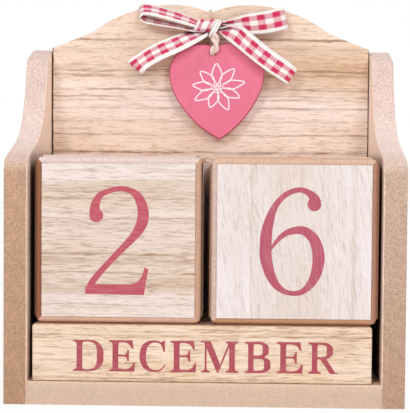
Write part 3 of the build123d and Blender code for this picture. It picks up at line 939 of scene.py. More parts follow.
def finished(name, bm, material, smooth=True):
    """Turns a bmesh in millimetres into an object in metres, at the origin."""
    bmesh.ops.scale(bm, vec=(MM, MM, MM), verts=bm.verts)
    made = bpy.data.objects.new(name, bpy.data.meshes.new(name))
    for face in bm.faces:
        face.smooth = smooth
    bm.to_mesh(made.data)
    bm.free()
    made.data.materials.append(material)
    bpy.context.scene.collection.objects.link(made)
    return made


def ribbon_strip(name, stations, folds, uv_start, across=(0, RIBBON_WIDTH)):
    """Lays a strip of gingham between two selvages.

    A station is a point on the lower selvage, a point on the upper one, and how far the
    folds are drawn in there. A fold is a share of the way across and a height over it.
    Across is the part of the ribbon's width that shows, in millimetres.
    """
    lower = through([Vector(s[0]) for s in stations], PIECES_ALONG)
    upper = through([Vector(s[1]) for s in stations], PIECES_ALONG)
    drawn = [v.x for v in through([Vector((s[2], 0, 0)) for s in stations], PIECES_ALONG)]
    profile = through([Vector((share, height, 0)) for share, height in folds], PIECES_ACROSS)
    along_count = len(lower) - 1
    across_count = len(profile) - 1
    middle = [(low + high) / 2 for low, high in zip(lower, upper)]
    travelled = [uv_start]
    for start, end in zip(middle, middle[1:]):
        travelled.append(travelled[-1] + (end - start).length)
    bm = bmesh.new()
    bmesh.ops.create_grid(bm, x_segments=along_count, y_segments=across_count, size=0.5)
    uv_layer = bm.loops.layers.uv.new("ribbon")
    steps = {
        v: (round((v.co.x + 0.5) * along_count), round((v.co.y + 0.5) * across_count)) for v in bm.verts
    }
    for vert, (i, j) in steps.items():
        ahead = middle[min(i + 1, along_count)] - middle[max(i - 1, 0)]
        width = upper[i] - lower[i]
        out = width.cross(ahead).normalized()
        flat = j / across_count
        share = flat + (profile[j].x - flat) * drawn[i]
        vert.co = lower[i] + width * share + out * profile[j].y * drawn[i]
    for face in bm.faces:
        for loop in face.loops:
            i, j = steps[loop.vert]
            loop[uv_layer].uv = (travelled[i], across[0] + (across[1] - across[0]) * j / across_count)
    strip = finished(name, bm, gingham)
    wall = strip.modifiers.new("cloth", "SOLIDIFY")
    wall.thickness = CLOTH_THICKNESS * MM
    wall.offset = 0
    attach(strip, "tray")
    print(name, along_count, "by", across_count, "faces,", round(travelled[-1] - uv_start, 1), "mm long")
    return strip


# %% [markdown]
# ## Tails and loops
# Two tails hang from the knot, lifted off the board because the cloth is stiff. The left one
# shows its face turned up. The right one is pleated where it leaves the knot: its upper
# selvage is folded over the face, which lies in shadow under it. The left loop is seen
# almost edge on, so its inside shows, and the right loop lies broad and flat. All points are
# set from the corners of the knot, so the bow stays on the knot that carries it.

# %% Bow
knot_low, knot_high = (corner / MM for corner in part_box("bow_knot"))


def from_knot(side, stations):
    """Stations whose points are measured from the left or right side of the knot."""
    x = knot_low.x if side == "left" else knot_high.x
    corner = Vector((x, knot_low.y, knot_low.z))
    return [(corner + Vector(low), corner + Vector(high), drawn) for low, high, drawn in stations]


LEFT_TAIL = [
    ((5.2, 1.8, 0.5), (2.6, 3.2, 1.9), 1.0),
    ((4.5, 0.2, -0.6), (0.8, 3.4, 1.2), 0.9),
    ((1.2, -1.6, -2.9), (-3.0, 2.4, 1.0), 0.6),
    ((-4.3, -3.2, -5.9), (-7.8, 0.5, -1.0), 0.25),
    ((-10.2, -3.9, -8.6), (-13.2, -0.3, -3.4), 0.0),
    ((-14.9, -4.2, -11.4), (-18.0, -0.7, -6.4), 0.0),
    ((-16.4, -3.6, -13.1), (-21.4, -1.0, -8.8), 0.1),
    ((-16.9, -2.2, -13.5), (-21.8, 0.3, -9.2), 0.1),
]
LEFT_TAIL_FOLDS = [(0, 0.2), (0.2, 0.5), (0.42, -0.1), (0.6, 0.5), (0.8, 0.1), (1, -0.3)]

RIGHT_TAIL = [
    ((-2.0, 1.6, 0.9), (-2.0, 1.2, 2.5), 1.0),
    ((0.1, -0.2, 0.5), (1.0, -1.4, 2.0), 1.0),
    ((2.0, -2.0, -1.4), (3.8, -3.2, 2.9), 0.9),
    ((4.0, -3.2, -3.0), (7.3, -3.6, 2.6), 0.5),
    ((6.9, -4.0, -5.3), (10.5, -3.4, 0.2), 0.1),
    ((11.0, -4.2, -8.6), (15.0, -2.8, -3.4), 0.0),
    ((15.6, -4.2, -12.0), (19.5, -2.4, -6.7), 0.0),
    ((19.8, -4.0, -14.7), (23.5, -2.2, -9.4), 0.0),
    ((22.5, -3.4, -16.4), (25.8, -1.4, -11.4), 0.1),
]
RIGHT_TAIL_FOLDS = [(0, 0), (0.3, -0.3), (0.55, 0.2), (0.76, 1.1), (0.86, 0.4), (1, -0.4)]

LEFT_LOOP = [
    ((1.6, 1.2, 1.8), (1.6, 4.2, 4.5), 1.0),
    ((0.6, 0.1, 2.6), (0.7, 4.4, 5.1), 1.0),
    ((-4.7, -0.2, 4.1), (-3.9, 4.8, 7.2), 1.0),
    ((-10.6, -0.3, 5.7), (-10.3, 5.1, 9.2), 1.0),
    ((-14.9, -0.3, 6.6), (-15.3, 5.1, 10.4), 1.0),
    ((-17.2, 0.0, 6.4), (-17.6, 5.1, 10.2), 0.8),
    ((-17.9, 0.4, 5.2), (-18.4, 5.1, 8.8), 0.3),
    ((-16.4, 0.4, 3.8), (-16.8, 5.1, 6.9), 0.0),
    ((-11.3, 0.3, 2.8), (-11.6, 5.0, 5.2), 0.0),
    ((-6.0, 0.2, 2.0), (-5.9, 4.8, 3.9), 0.0),
    ((-2.4, 0.0, 1.2), (-1.9, 4.6, 2.8), 0.3),
    ((-0.6, 0.3, 0.7), (-0.2, 4.6, 2.8), 0.8),
    ((1.6, 1.2, 0.7), (1.6, 4.4, 3.1), 1.0),
]
LEFT_LOOP_FOLDS = [(0, -0.6), (0.17, 0.3), (0.4, 0.0), (0.7, 0.3), (1, 0)]

RIGHT_LOOP = [
    ((-1.5, 1.0, 2.1), (-1.5, 1.2, 3.7), 1.0),
    ((1.6, 0.4, 2.5), (1.2, 0.2, 4.2), 1.0),
    ((5.2, -0.2, 1.3), (4.9, -0.4, 5.2), 0.7),
    ((10.5, -0.4, 0.1), (9.4, -0.6, 6.6), 0.2),
    ((16.7, -0.2, 0.6), (15.3, -0.4, 7.6), 0.0),
    ((21.0, 0.2, 1.6), (19.4, 0.0, 8.7), 0.0),
    ((22.7, 2.1, 2.3), (21.1, 1.9, 9.3), 0.0),
    ((20.1, 4.1, 1.7), (18.8, 3.9, 8.6), 0.0),
    ((14.2, 5.0, 0.7), (12.8, 5.0, 7.5), 0.1),
    ((5.5, 5.0, 1.8), (5.0, 5.0, 5.4), 0.6),
    ((-1.5, 4.2, 2.3), (-1.5, 4.4, 4.2), 1.0),
]
RIGHT_LOOP_FOLDS = [(0, 0), (0.2, 0.5), (0.4, -0.4), (0.6, 0.5), (0.8, -0.3), (1, 0.2)]

FULL_WIDTH = (0, RIBBON_WIDTH)
for name, side, stations, folds, start, across in (
    ("bow_left_tail", "left", LEFT_TAIL, LEFT_TAIL_FOLDS, 2.2, (-0.5, 6.8)),
    ("bow_right_tail", "right", RIGHT_TAIL, RIGHT_TAIL_FOLDS, 1.95, (0.35, 7.2)),
    ("bow_left_loop", "left", LEFT_LOOP, LEFT_LOOP_FOLDS, 0.0, FULL_WIDTH),
    ("bow_right_loop", "right", RIGHT_LOOP, RIGHT_LOOP_FOLDS, 2.4, (0.15, 6.5)),
):
    strip = ribbon_strip(name + "_cloth", from_knot(side, stations), folds, start, across)
    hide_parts(name)

# %% [markdown]
# ## The knot
# The knot is the same ribbon wrapped once round the four bands, leaning a little, so its
# stripes stand upright in front. Squeezed from 7 mm, it gets creases along the wrap, and
# its selvages are tucked in. It is a strip like the others whose stations go round the
# knot's oval section.

# %% Knot
KNOT_STATIONS = 12
KNOT_LEAN = 0.42  # mm to the right for each mm up
WRAP_LEFT, WRAP_RIGHT = 0.2, 7.0  # mm from the knot's left side
KNOT_INSET = 0.3  # mm that the wrap is less high and deep than the knot
KNOT_OVERLAP = 0.02  # radians more at each station, so that the ends overlap
KNOT_FOLDS = [
    (0.0, -0.9),
    (0.07, -0.2),
    (0.20, 0.05),
    (0.29, -0.35),
    (0.38, 0.0),
    (0.56, 0.1),
    (0.68, -0.3),
    (0.76, 0.0),
    (0.92, -0.1),
    (1.0, -0.9),
]

knot_centre = (knot_low + knot_high) / 2
wrap = []
for step in range(KNOT_STATIONS + 1):
    turned = 2 * pi * step / KNOT_STATIONS + KNOT_OVERLAP * step
    y = knot_centre.y + (knot_high.y - knot_low.y - KNOT_INSET) / 2 * cos(turned)
    z = knot_centre.z - (knot_high.z - knot_low.z - KNOT_INSET) / 2 * sin(turned)
    lean = KNOT_LEAN * (z - knot_centre.z)
    left = Vector((knot_low.x + WRAP_LEFT + lean, y, z))
    right = Vector((knot_low.x + WRAP_RIGHT + lean, y, z))
    wrap.append((left, right, 1.0))
knot_wrap = ribbon_strip("bow_knot_cloth", wrap, KNOT_FOLDS, uv_start=1.2)
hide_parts("bow_knot")

# The ribbon's own last turn lies over the wrap, folded to a narrow strand.
CROSSING = [
    ((7.8, 0.6, 5.1), (9.6, 0.6, 4.3), 1.0),
    ((7.5, -0.5, 4.5), (9.2, -0.6, 3.5), 1.0),
    ((6.4, -0.8, 2.7), (8.3, -0.8, 1.9), 1.0),
    ((5.4, -0.6, 0.7), (7.4, -0.6, 0.0), 1.0),
    ((4.7, 0.4, -0.7), (6.5, 0.4, -1.5), 1.0),
]
CROSSING_FOLDS = [(0, 0.9), (0.08, 0.2), (0.28, -0.2), (0.5, 0.15), (0.72, -0.25), (0.92, 0.2), (1, 0.9)]
ribbon_strip("bow_crossing_cloth", from_knot("left", CROSSING), CROSSING_FOLDS, 1.8, across=(-0.7, 1.9))

# %% [markdown]
# ## Lettering
# Digits and month names are printed in an old book face: thick upright strokes, hairline
# joins, and small bracketed serifs. No typeface file is needed for that. A letter is drawn
# the way a sign painter does it, as a few overlapping shapes: a stem with its serifs, an
# arm, and a pen stroke that swells and thins along a smooth line. All sizes are shares of
# the height of a capital. The shapes are then joined into one flat outline.

# %% Pens, stems and serifs
THICK = 0.19
HAIR = 0.062
SERIF_REACH = 0.11
SERIF_THICKNESS = 0.052
BRACKET = 0.10
ARM_THICKNESS = 0.068
ARM_TIP = 0.03
BALL_CORNERS = 20
RING_STEPS = 8
RING_SWELL = 1.6  # how suddenly a ring grows thick towards its sides
RING_OVERLAP = 0.01  # of its two halves


def pen(*points, pieces=5):
    """The outline of a stroke. A point is x, y and the width of the stroke there."""
    line = through([Vector(point) for point in points], pieces)
    left, right = [], []
    for i, point in enumerate(line):
        ahead = line[min(i + 1, len(line) - 1)] - line[max(i - 1, 0)]
        side = Vector((-ahead.y, ahead.x)).normalized() * point.z / 2
        left.append(point.xy + side)
        right.append(point.xy - side)
    return left + right[::-1]


def ball(x, y, radius):
    turns = [2 * pi * corner / BALL_CORNERS for corner in range(BALL_CORNERS)]
    return [Vector((x + radius * cos(turned), y + radius * sin(turned))) for turned in turns]


def shape(*points):
    return [Vector(point) for point in points]


def ring(x, y, half_width, half_height, side, top):
    """A round letter's ring, thick at its sides and thin at top and bottom, in two halves."""
    halves = []
    for way in (-1, 1):
        points = []
        for step in range(RING_STEPS + 1):
            turned = pi * step / RING_STEPS
            width = top + (side - top) * sin(turned) ** RING_SWELL
            overlap = way * RING_OVERLAP * (step in (0, RING_STEPS))
            across = x + way * (half_width - width / 2) * sin(turned) - overlap
            points.append((across, y + (half_height - width / 2) * cos(turned), width))
        halves.append(pen(*points, pieces=4))
    return halves


def serif(left, right, y, way, reach=SERIF_REACH):
    """A foot, way 1, or a head, way -1, with its brackets."""
    steps = [k / 4 for k in range(5)]
    low = y + way * SERIF_THICKNESS
    outline = [(left - reach, y), (right + reach, y)]
    outline += [(right + reach * (1 - t) ** 2, low + way * BRACKET * t**2) for t in steps]
    outline += [(left - reach * t**2, low + way * BRACKET * (1 - t) ** 2) for t in steps]
    return shape(*outline)


def stem(left, width=THICK, low=0.0, high=1.0, foot=True, head=True):
    right = left + width
    parts = [shape((left, low), (right, low), (right, high), (left, high))]
    if foot:
        parts.append(serif(left, right, low, 1))
    if head:
        parts.append(serif(left, right, high, -1))
    return parts


def arm(start, end, y, way, drop):
    """A thin arm of an E or a T, with a wedge at its end that points down, -1, or up, 1."""
    inner = y + way * ARM_THICKNESS
    return shape(
        (start, y),
        (end + way * 0.01, y),
        (end + ARM_TIP, y + way * drop),
        (end + ARM_TIP - 0.055, y + way * drop),
        (end - 0.085, inner + way * 0.10),
        (end - 0.15, inner + way * 0.04),
        (end - 0.27, inner),
        (start, inner),
    )


def bowl(left, low, high, outer, thick, hair=HAIR + 0.015):
    """The round side of a D, B, P or R, from the stem and back to it."""
    middle, half = (low + high) / 2, (high - low - hair) / 2
    turn = outer - thick / 2
    straight = left + 0.45 * (turn - left)
    return pen(
        (left, middle + half, hair),
        (straight, middle + half, hair),
        (straight + 0.62 * (turn - straight), middle + 0.86 * half, 0.52 * thick),
        (turn - 0.02 * (turn - straight), middle + 0.42 * half, 0.96 * thick),
        (turn, middle, thick),
        (turn - 0.02 * (turn - straight), middle - 0.42 * half, 0.96 * thick),
        (straight + 0.62 * (turn - straight), middle - 0.86 * half, 0.52 * thick),
        (straight, middle - half, hair),
        (left, middle - half, hair),
    )


print("a stem with its serifs has", len(stem(0)), "parts")

# %% [markdown]
# ## The letters
# Only the twenty-one capitals that month names need are drawn. Each entry gives the letter's
# width, the white it wants at its left and right, and its parts.

# %% Capitals
MIDDLE_ARM = shape(
    (0.25, 0.478), (0.50, 0.478), (0.56, 0.45), (0.595, 0.33), (0.645, 0.33), (0.645, 0.69),
    (0.595, 0.69), (0.56, 0.57), (0.50, 0.540), (0.25, 0.540),
)  # fmt: skip
C_CURVE = [
    (0.775, 0.72, 0.05), (0.735, 0.86, 0.06), (0.62, 0.948, 0.062), (0.49, 0.972, 0.066), (0.33, 0.945, 0.10),
    (0.18, 0.82, 0.17), (0.115, 0.64, 0.20), (0.105, 0.5, 0.205), (0.115, 0.36, 0.20), (0.18, 0.19, 0.17),
    (0.33, 0.06, 0.10), (0.49, 0.030, 0.066),
]  # fmt: skip
UPPER_WEDGE = shape((0.66, 0.915), (0.755, 1.0), (0.81, 1.0), (0.81, 0.64), (0.76, 0.64), (0.735, 0.76))

CAPITALS = {
    "A": (
        0.97, 0.03, 0.03,
        [shape((0.40, 1), (0.53, 1), (0.90, 0), (0.685, 0)),
         shape((0.08, 0), (0.14, 0), (0.475, 0.92), (0.43, 0.98)),
         shape((0.21, 0.29), (0.73, 0.29), (0.71, 0.345), (0.23, 0.345)),
         serif(0.08, 0.14, 0, 1, 0.10), serif(0.69, 0.89, 0, 1, 0.08)],
    ),
    "B": (
        0.84, 0.09, 0.10,
        stem(0.12, 0.175) + [bowl(0.25, 0.485, 1.0, 0.775, 0.20), bowl(0.25, 0.0, 0.53, 0.83, 0.205)],
    ),
    "C": (
        0.83, 0.08, 0.06,
        [pen(*C_CURVE, (0.65, 0.055, 0.05), (0.77, 0.16, 0.04), (0.81, 0.25, 0.03)), UPPER_WEDGE],
    ),
    "D": (0.976, 0.09, 0.09, stem(0.12, 0.185) + [bowl(0.25, 0.0, 1.0, 0.976, 0.21, 0.06)]),
    "E": (
        0.86, 0.08, 0.04,
        stem(0.12, 0.185) + [arm(0.25, 0.765, 1.0, -1, 0.27), MIDDLE_ARM, arm(0.25, 0.81, 0.0, 1, 0.29)],
    ),
    "F": (0.80, 0.08, 0.04, stem(0.12, 0.185) + [arm(0.25, 0.765, 1.0, -1, 0.27), MIDDLE_ARM]),
    "G": (
        0.92, 0.08, 0.06,
        [pen(*C_CURVE, (0.62, 0.04, 0.055), (0.73, 0.11, 0.05)), UPPER_WEDGE]
        + stem(0.65, 0.185, 0.02, 0.43, foot=False),
    ),
    "H": (
        1.12, 0.08, 0.08,
        stem(0.12, 0.185) + stem(0.82, 0.185)
        + [shape((0.25, 0.47), (0.87, 0.47), (0.87, 0.525), (0.25, 0.525))],
    ),
    "I": (0.43, 0.08, 0.08, stem(0.12, 0.185)),
    "J": (
        0.56, 0.06, 0.08,
        stem(0.25, 0.185, 0.25, 1.0, foot=False)
        + [pen((0.342, 0.32, 0.185), (0.335, 0.17, 0.165), (0.27, 0.05, 0.085),
               (0.17, 0.02, 0.045), (0.09, 0.07, 0.05)),
           ball(0.10, 0.14, 0.085)],
    ),
    "L": (0.84, 0.08, 0.05, stem(0.12, 0.185) + [arm(0.25, 0.79, 0.0, 1, 0.31)]),
    "M": (
        1.24, 0.05, 0.08,
        stem(0.155, 0.06, head=False) + stem(0.93, 0.185)
        + [shape((0.02, 1), (0.345, 1), (0.64, 0.28), (0.575, 0.0), (0.545, 0.0),
                 (0.16, 0.90), (0.13, 0.96), (0.02, 0.96)),
           shape((0.545, 0.0), (0.59, 0.0), (0.975, 0.93), (0.93, 1.0))],
    ),
    "N": (
        1.10, 0.05, 0.05,
        stem(0.155, 0.06, head=False) + stem(0.90, 0.06, foot=False)
        + [shape((0.02, 1), (0.30, 1), (0.96, 0.09), (0.96, -0.02), (0.90, -0.02),
                 (0.19, 0.88), (0.13, 0.96), (0.02, 0.96))],
    ),
    "O": (0.93, 0.06, 0.06, ring(0.465, 0.5, 0.465, 0.515, 0.205, 0.055)),
    "P": (0.80, 0.08, 0.04, stem(0.12, 0.185) + [bowl(0.25, 0.43, 1.0, 0.79, 0.205)]),
    "R": (
        0.95, 0.10, 0.03,
        stem(0.12, 0.175)
        + [bowl(0.25, 0.46, 1.0, 0.785, 0.20),
           shape((0.36, 0.50), (0.55, 0.52), (0.86, 0.045), (0.95, 0.045), (0.95, 0), (0.70, 0))],
    ),
    "S": (
        0.67, 0.09, 0.08,
        [pen((0.555, 0.70, 0.03), (0.53, 0.85, 0.035), (0.43, 0.955, 0.05), (0.315, 0.975, 0.055),
             (0.19, 0.935, 0.09), (0.125, 0.82, 0.14), (0.155, 0.69, 0.17), (0.30, 0.56, 0.19),
             (0.47, 0.43, 0.19), (0.56, 0.29, 0.165), (0.545, 0.14, 0.12), (0.44, 0.04, 0.06),
             (0.32, 0.022, 0.05), (0.19, 0.06, 0.045), (0.10, 0.17, 0.035), (0.07, 0.32, 0.03)),
         shape((0.50, 0.88), (0.545, 1.0), (0.58, 1.0), (0.58, 0.66), (0.545, 0.66), (0.53, 0.76)),
         shape((0.13, 0.12), (0.085, 0.0), (0.05, 0.0), (0.05, 0.36), (0.085, 0.36), (0.10, 0.24))],
    ),
    "T": (
        0.88, 0.04, 0.04,
        stem(0.345, 0.19, head=False)
        + [arm(0.40, 0.83, 1.0, -1, 0.27),
           [Vector((0.88 - p.x, p.y)) for p in arm(0.40, 0.83, 1.0, -1, 0.27)]],
    ),
    "U": (
        1.05, 0.05, 0.05,
        stem(0.12, 0.185, 0.3, 1.0, foot=False) + stem(0.84, 0.055, 0.3, 1.0, foot=False)
        + [pen((0.2125, 0.36, 0.185), (0.225, 0.21, 0.175), (0.32, 0.07, 0.11), (0.50, 0.02, 0.06),
               (0.69, 0.055, 0.055), (0.82, 0.17, 0.055), (0.866, 0.34, 0.055))],
    ),
    "V": (
        1.0, 0.02, 0.02,
        [shape((0.09, 1), (0.30, 1), (0.595, 0.18), (0.53, -0.02), (0.475, -0.02)),
         shape((0.475, -0.02), (0.53, -0.02), (0.905, 1), (0.845, 1)),
         serif(0.10, 0.29, 1, -1, 0.08), serif(0.85, 0.90, 1, -1, 0.10)],
    ),
    "Y": (
        0.98, 0.02, 0.02,
        stem(0.395, 0.185, 0, 0.5, head=False)
        + [shape((0.08, 1), (0.295, 1), (0.58, 0.50), (0.58, 0.38), (0.395, 0.38), (0.395, 0.47)),
           shape((0.50, 0.43), (0.56, 0.44), (0.885, 1), (0.825, 1)),
           serif(0.09, 0.285, 1, -1, 0.08), serif(0.83, 0.88, 1, -1, 0.10)],
    ),
}  # fmt: skip
print(len(CAPITALS), "capitals:", "".join(CAPITALS))

# %% [markdown]
# ## The digits
# The digits are thinner than the capitals for their size, as the numbers of a date are set
# large. Their hooks end in a ball, as a broad pen leaves it.

# %% Digits
DIGITS = {
    0: (0.60, ring(0.30, 0.5, 0.30, 0.51, 0.112, 0.045)),
    1: (
        0.40,
        stem(0.16, 0.11, head=False)
        + [shape((0.0, 0.84), (0.0, 0.81), (0.17, 0.86), (0.17, 1.0), (0.27, 1.01), (0.27, 0.97),
                 (0.20, 0.93), (0.10, 0.865))],
    ),
    2: (
        0.58,
        [ball(0.099, 0.731, 0.064),
         pen((0.093, 0.735, 0.115), (0.085, 0.780, 0.095), (0.090, 0.830, 0.081), (0.119, 0.897, 0.065),
             (0.168, 0.938, 0.050), (0.2975, 0.977, 0.046), (0.396, 0.964, 0.052), (0.47, 0.918, 0.075),
             (0.514, 0.84, 0.093), (0.530, 0.757, 0.103), (0.522, 0.675, 0.105), (0.489, 0.602, 0.092),
             (0.437, 0.53, 0.074), (0.344, 0.432, 0.062), (0.241, 0.323, 0.056), (0.137, 0.21, 0.056),
             (0.065, 0.117, 0.06), (0.036, 0.055, 0.064)),
         shape((0.0, 0.008), (0.541, 0.0), (0.559, 0.114), (0.580, 0.236), (0.545, 0.258),
               (0.540, 0.232), (0.530, 0.201), (0.516, 0.168), (0.496, 0.138), (0.470, 0.116),
               (0.440, 0.103), (0.405, 0.098), (0.080, 0.098), (0.0, 0.071))],
    ),
    3: (
        0.56,
        [ball(0.105, 0.79, 0.062),
         pen((0.09, 0.81, 0.08), (0.12, 0.90, 0.06), (0.19, 0.955, 0.046), (0.27, 0.975, 0.044),
             (0.37, 0.945, 0.06), (0.435, 0.86, 0.09), (0.445, 0.76, 0.10), (0.41, 0.65, 0.09),
             (0.32, 0.575, 0.06), (0.19, 0.54, 0.04)),
         pen((0.19, 0.54, 0.04), (0.32, 0.535, 0.055), (0.43, 0.47, 0.09), (0.485, 0.35, 0.11),
             (0.475, 0.22, 0.105), (0.40, 0.09, 0.075), (0.28, 0.03, 0.046), (0.17, 0.04, 0.05),
             (0.10, 0.10, 0.065), (0.085, 0.17, 0.08)),
         ball(0.10, 0.19, 0.064)],
    ),
    4: (
        0.60,
        stem(0.38, 0.108, 0, 1.0, head=False)
        + [shape((0.38, 1.0), (0.488, 1.0), (0.488, 0.93), (0.05, 0.33), (0.0, 0.25), (0.0, 0.31)),
           shape((0.0, 0.25), (0.60, 0.25), (0.60, 0.32), (0.0, 0.32))],
    ),
    5: (
        0.56,
        [shape((0.10, 0.99), (0.13, 0.965), (0.38, 0.965), (0.47, 1.01), (0.50, 1.0), (0.46, 0.885),
               (0.13, 0.87), (0.135, 0.56), (0.10, 0.52)),
         pen((0.11, 0.55, 0.04), (0.19, 0.605, 0.05), (0.29, 0.62, 0.065), (0.41, 0.56, 0.09),
             (0.48, 0.44, 0.11), (0.49, 0.31, 0.11), (0.45, 0.17, 0.095), (0.36, 0.065, 0.065),
             (0.25, 0.03, 0.046), (0.15, 0.05, 0.05), (0.10, 0.11, 0.065), (0.09, 0.17, 0.08)),
         ball(0.105, 0.195, 0.062)],
    ),
    6: (
        0.60,
        [ball(0.496, 0.843, 0.063),
         pen((0.500, 0.862, 0.115), (0.492, 0.895, 0.095), (0.466, 0.930, 0.070), (0.424, 0.957, 0.055),
             (0.365, 0.975, 0.048), (0.279, 0.954, 0.048), (0.207, 0.908, 0.050), (0.140, 0.825, 0.058),
             (0.093, 0.715, 0.080), (0.064, 0.59, 0.102), (0.055, 0.468, 0.108), (0.059, 0.347, 0.109),
             (0.094, 0.21, 0.093), (0.152, 0.103, 0.071), (0.228, 0.043, 0.05), (0.309, 0.022, 0.044)),
         pen((0.305, 0.022, 0.044), (0.385, 0.037, 0.05), (0.461, 0.101, 0.071), (0.517, 0.205, 0.096),
             (0.539, 0.326, 0.11), (0.531, 0.428, 0.107), (0.491, 0.529, 0.096), (0.415, 0.595, 0.081),
             (0.339, 0.605, 0.07), (0.258, 0.585, 0.057), (0.184, 0.534, 0.043), (0.10, 0.43, 0.026))],
    ),
    7: (
        0.56,
        [shape((0.02, 0.72), (0.05, 0.72), (0.08, 0.82), (0.15, 0.88), (0.55, 0.885), (0.56, 1.0),
               (0.06, 1.0)),
         pen((0.53, 0.96, 0.05), (0.46, 0.80, 0.05), (0.37, 0.60, 0.06), (0.29, 0.40, 0.09),
             (0.245, 0.22, 0.12), (0.235, 0.0, 0.14))],
    ),
    8: (0.56, ring(0.28, 0.745, 0.215, 0.26, 0.092, 0.044) + ring(0.28, 0.265, 0.275, 0.28, 0.105, 0.046)),
}  # fmt: skip
print(len(DIGITS), "digits")

# %% [markdown]
# ## Printing
# The joined outline is cut into flat faces, and pulled out to a film a few hundredths of a
# millimetre thick, the height of screen print on wood. Its foot lies inside the wood, so no
# gap shows at any angle. The ink's material is the wood's own, seen through red: where a
# pore or a hard line runs under it, the film is thin and paler.

# %% Printed films
INK_PROUD = 0.03
INK_SUNK = 0.05
INKS = {
    # where it lies thick, where it is thin
    "left": (linear(186, 83, 97), linear(213, 132, 138)),
    "right": (linear(180, 84, 103), linear(207, 132, 142)),
    "bar": (linear(170, 74, 86), linear(198, 122, 126)),
}


def joined(parts):
    """Joins overlapping outlines into one flat set of triangles."""
    points, outlines = [], []
    for part in parts:
        area = sum(a.cross(b) for a, b in zip(part, part[1:] + part[:1]))
        outlines.append(list(range(len(points), len(points) + len(part))))
        points += part if area > 0 else part[::-1]
    corners, _, triangles, _, _, covered = delaunay_2d_cdt(points, [], outlines, 1, 1e-5)
    return corners, [triangle for triangle, by in zip(triangles, covered) if by]


def film(bm, parts, scale, shift, place):
    """Adds one letter or line to a film: joined, pulled out, and put in its place."""
    corners, triangles = joined(parts)
    verts = [bm.verts.new((*(corner * scale + shift), INK_PROUD)) for corner in corners]
    faces = [bm.faces.new([verts[i] for i in triangle]) for triangle in triangles]
    grown = bmesh.ops.extrude_face_region(bm, geom=faces)["geom"]
    foot = [v for v in grown if isinstance(v, bmesh.types.BMVert)]
    bmesh.ops.translate(bm, vec=(0, 0, -INK_PROUD - INK_SUNK), verts=foot)
    loose = [v for v in verts if not v.link_faces]
    bmesh.ops.delete(bm, geom=loose, context="VERTS")
    bmesh.ops.transform(bm, matrix=place, verts=[v for v in verts if v.is_valid] + foot)


def side_place(node_name, out, up):
    """The place of a side's middle, its right, up and out directions, in millimetres."""
    low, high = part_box(node_name)
    reach = (high - low) / 2
    surface = (low + high) / 2 + out * abs(reach.dot(out))
    right = up.cross(out)
    turned = Matrix((right, up, out)).transposed().to_4x4()
    return Matrix.Translation(surface / MM) @ turned


def finish_film(name, bm, material, body):
    bmesh.ops.recalc_face_normals(bm, faces=bm.faces)
    print_piece = finished(name, bm, material, smooth=False)
    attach(print_piece, body)


DIGIT_HEIGHT = 32.5
DIGIT_SHIFT = Vector((0.0, -0.1))
DIGIT_SHIFTS = {("left", 2): Vector((-0.3, -0.1)), ("right", 6): Vector((-0.5, 0.1))}

for cube, numbers in CUBE_NUMBERS.items():
    for number in numbers:
        carrier = f"{cube}_cube_face_{number}"
        out = facing(carrier, f"{cube}_cube_core")
        width, parts = DIGITS[number]
        shift = DIGIT_SHIFTS.get((cube, number), DIGIT_SHIFT) - Vector((width, 1.0)) * DIGIT_HEIGHT / 2
        bm = bmesh.new()
        film(bm, parts, DIGIT_HEIGHT, shift, side_place(carrier, out, upright(out)))
        ink = square_wood(cube, number, out, INKS[cube])
        finish_film(f"{cube}_cube_digit_{number}", bm, ink, f"{cube}_cube")
print("12 digits,", DIGIT_HEIGHT, "mm high")

# %% Month names
CAPITAL_HEIGHT = 9.4
NAME_SHIFT = Vector((1.1, -0.7))
BAR_SIDES = {
    # way out of the bar, way up of the name
    "front": (-AXES["Y"], AXES["Z"]),
    "top": (AXES["Z"], AXES["Y"]),
    "rear": (AXES["Y"], -AXES["Z"]),
    "bottom": (-AXES["Z"], -AXES["Y"]),
}
BAR_NAMES = {
    "front": ("DECEMBER", "SEPTEMBER", "OCTOBER", "NOVEMBER"),
    "middle": ("AUGUST", "MAY", "JUNE", "JULY"),
    "rear": ("APRIL", "JANUARY", "FEBRUARY", "MARCH"),
}


def name_film(word, place):
    bm = bmesh.new()
    gaps = [CAPITALS[a][2] + CAPITALS[b][1] for a, b in zip(word, word[1:])] + [0]
    length = sum(CAPITALS[letter][0] for letter in word) + sum(gaps)
    start = -length / 2
    for letter, gap in zip(word, gaps):
        shift = NAME_SHIFT + Vector((start, -0.5)) * CAPITAL_HEIGHT
        film(bm, CAPITALS[letter][3], CAPITAL_HEIGHT, shift, place)
        start += CAPITALS[letter][0] + gap
    return bm, length * CAPITAL_HEIGHT


for bar, words in BAR_NAMES.items():
    ink = bar_wood(bar, INKS["bar"])
    for word, (out, up) in zip(words, BAR_SIDES.values()):
        bm, length = name_film(word, side_place(f"month_bar_{bar}", out, up))
        finish_film(f"month_name_{word.lower()}", bm, ink, f"month_bar_{bar}")
        print(word, round(length, 1), "mm")

# %% [markdown]
# ## The painted heart
# The heart is sawn from thin board and painted a satin pink. The paint pools a little towards
# the middle. Where the surface turns away from the front, on the sawn edge, painted shade
# makes the pink deeper. A faint grain of the board still shows as relief.

# %% Heart paint
HEART_PINK = linear(235, 122, 149)
HEART_PINK_DEEP = linear(229, 116, 144)
# Painted shade on the heart's edge, where the surface turns away from the front.
HEART_EDGE_SHADE = linear(176, 56, 80)


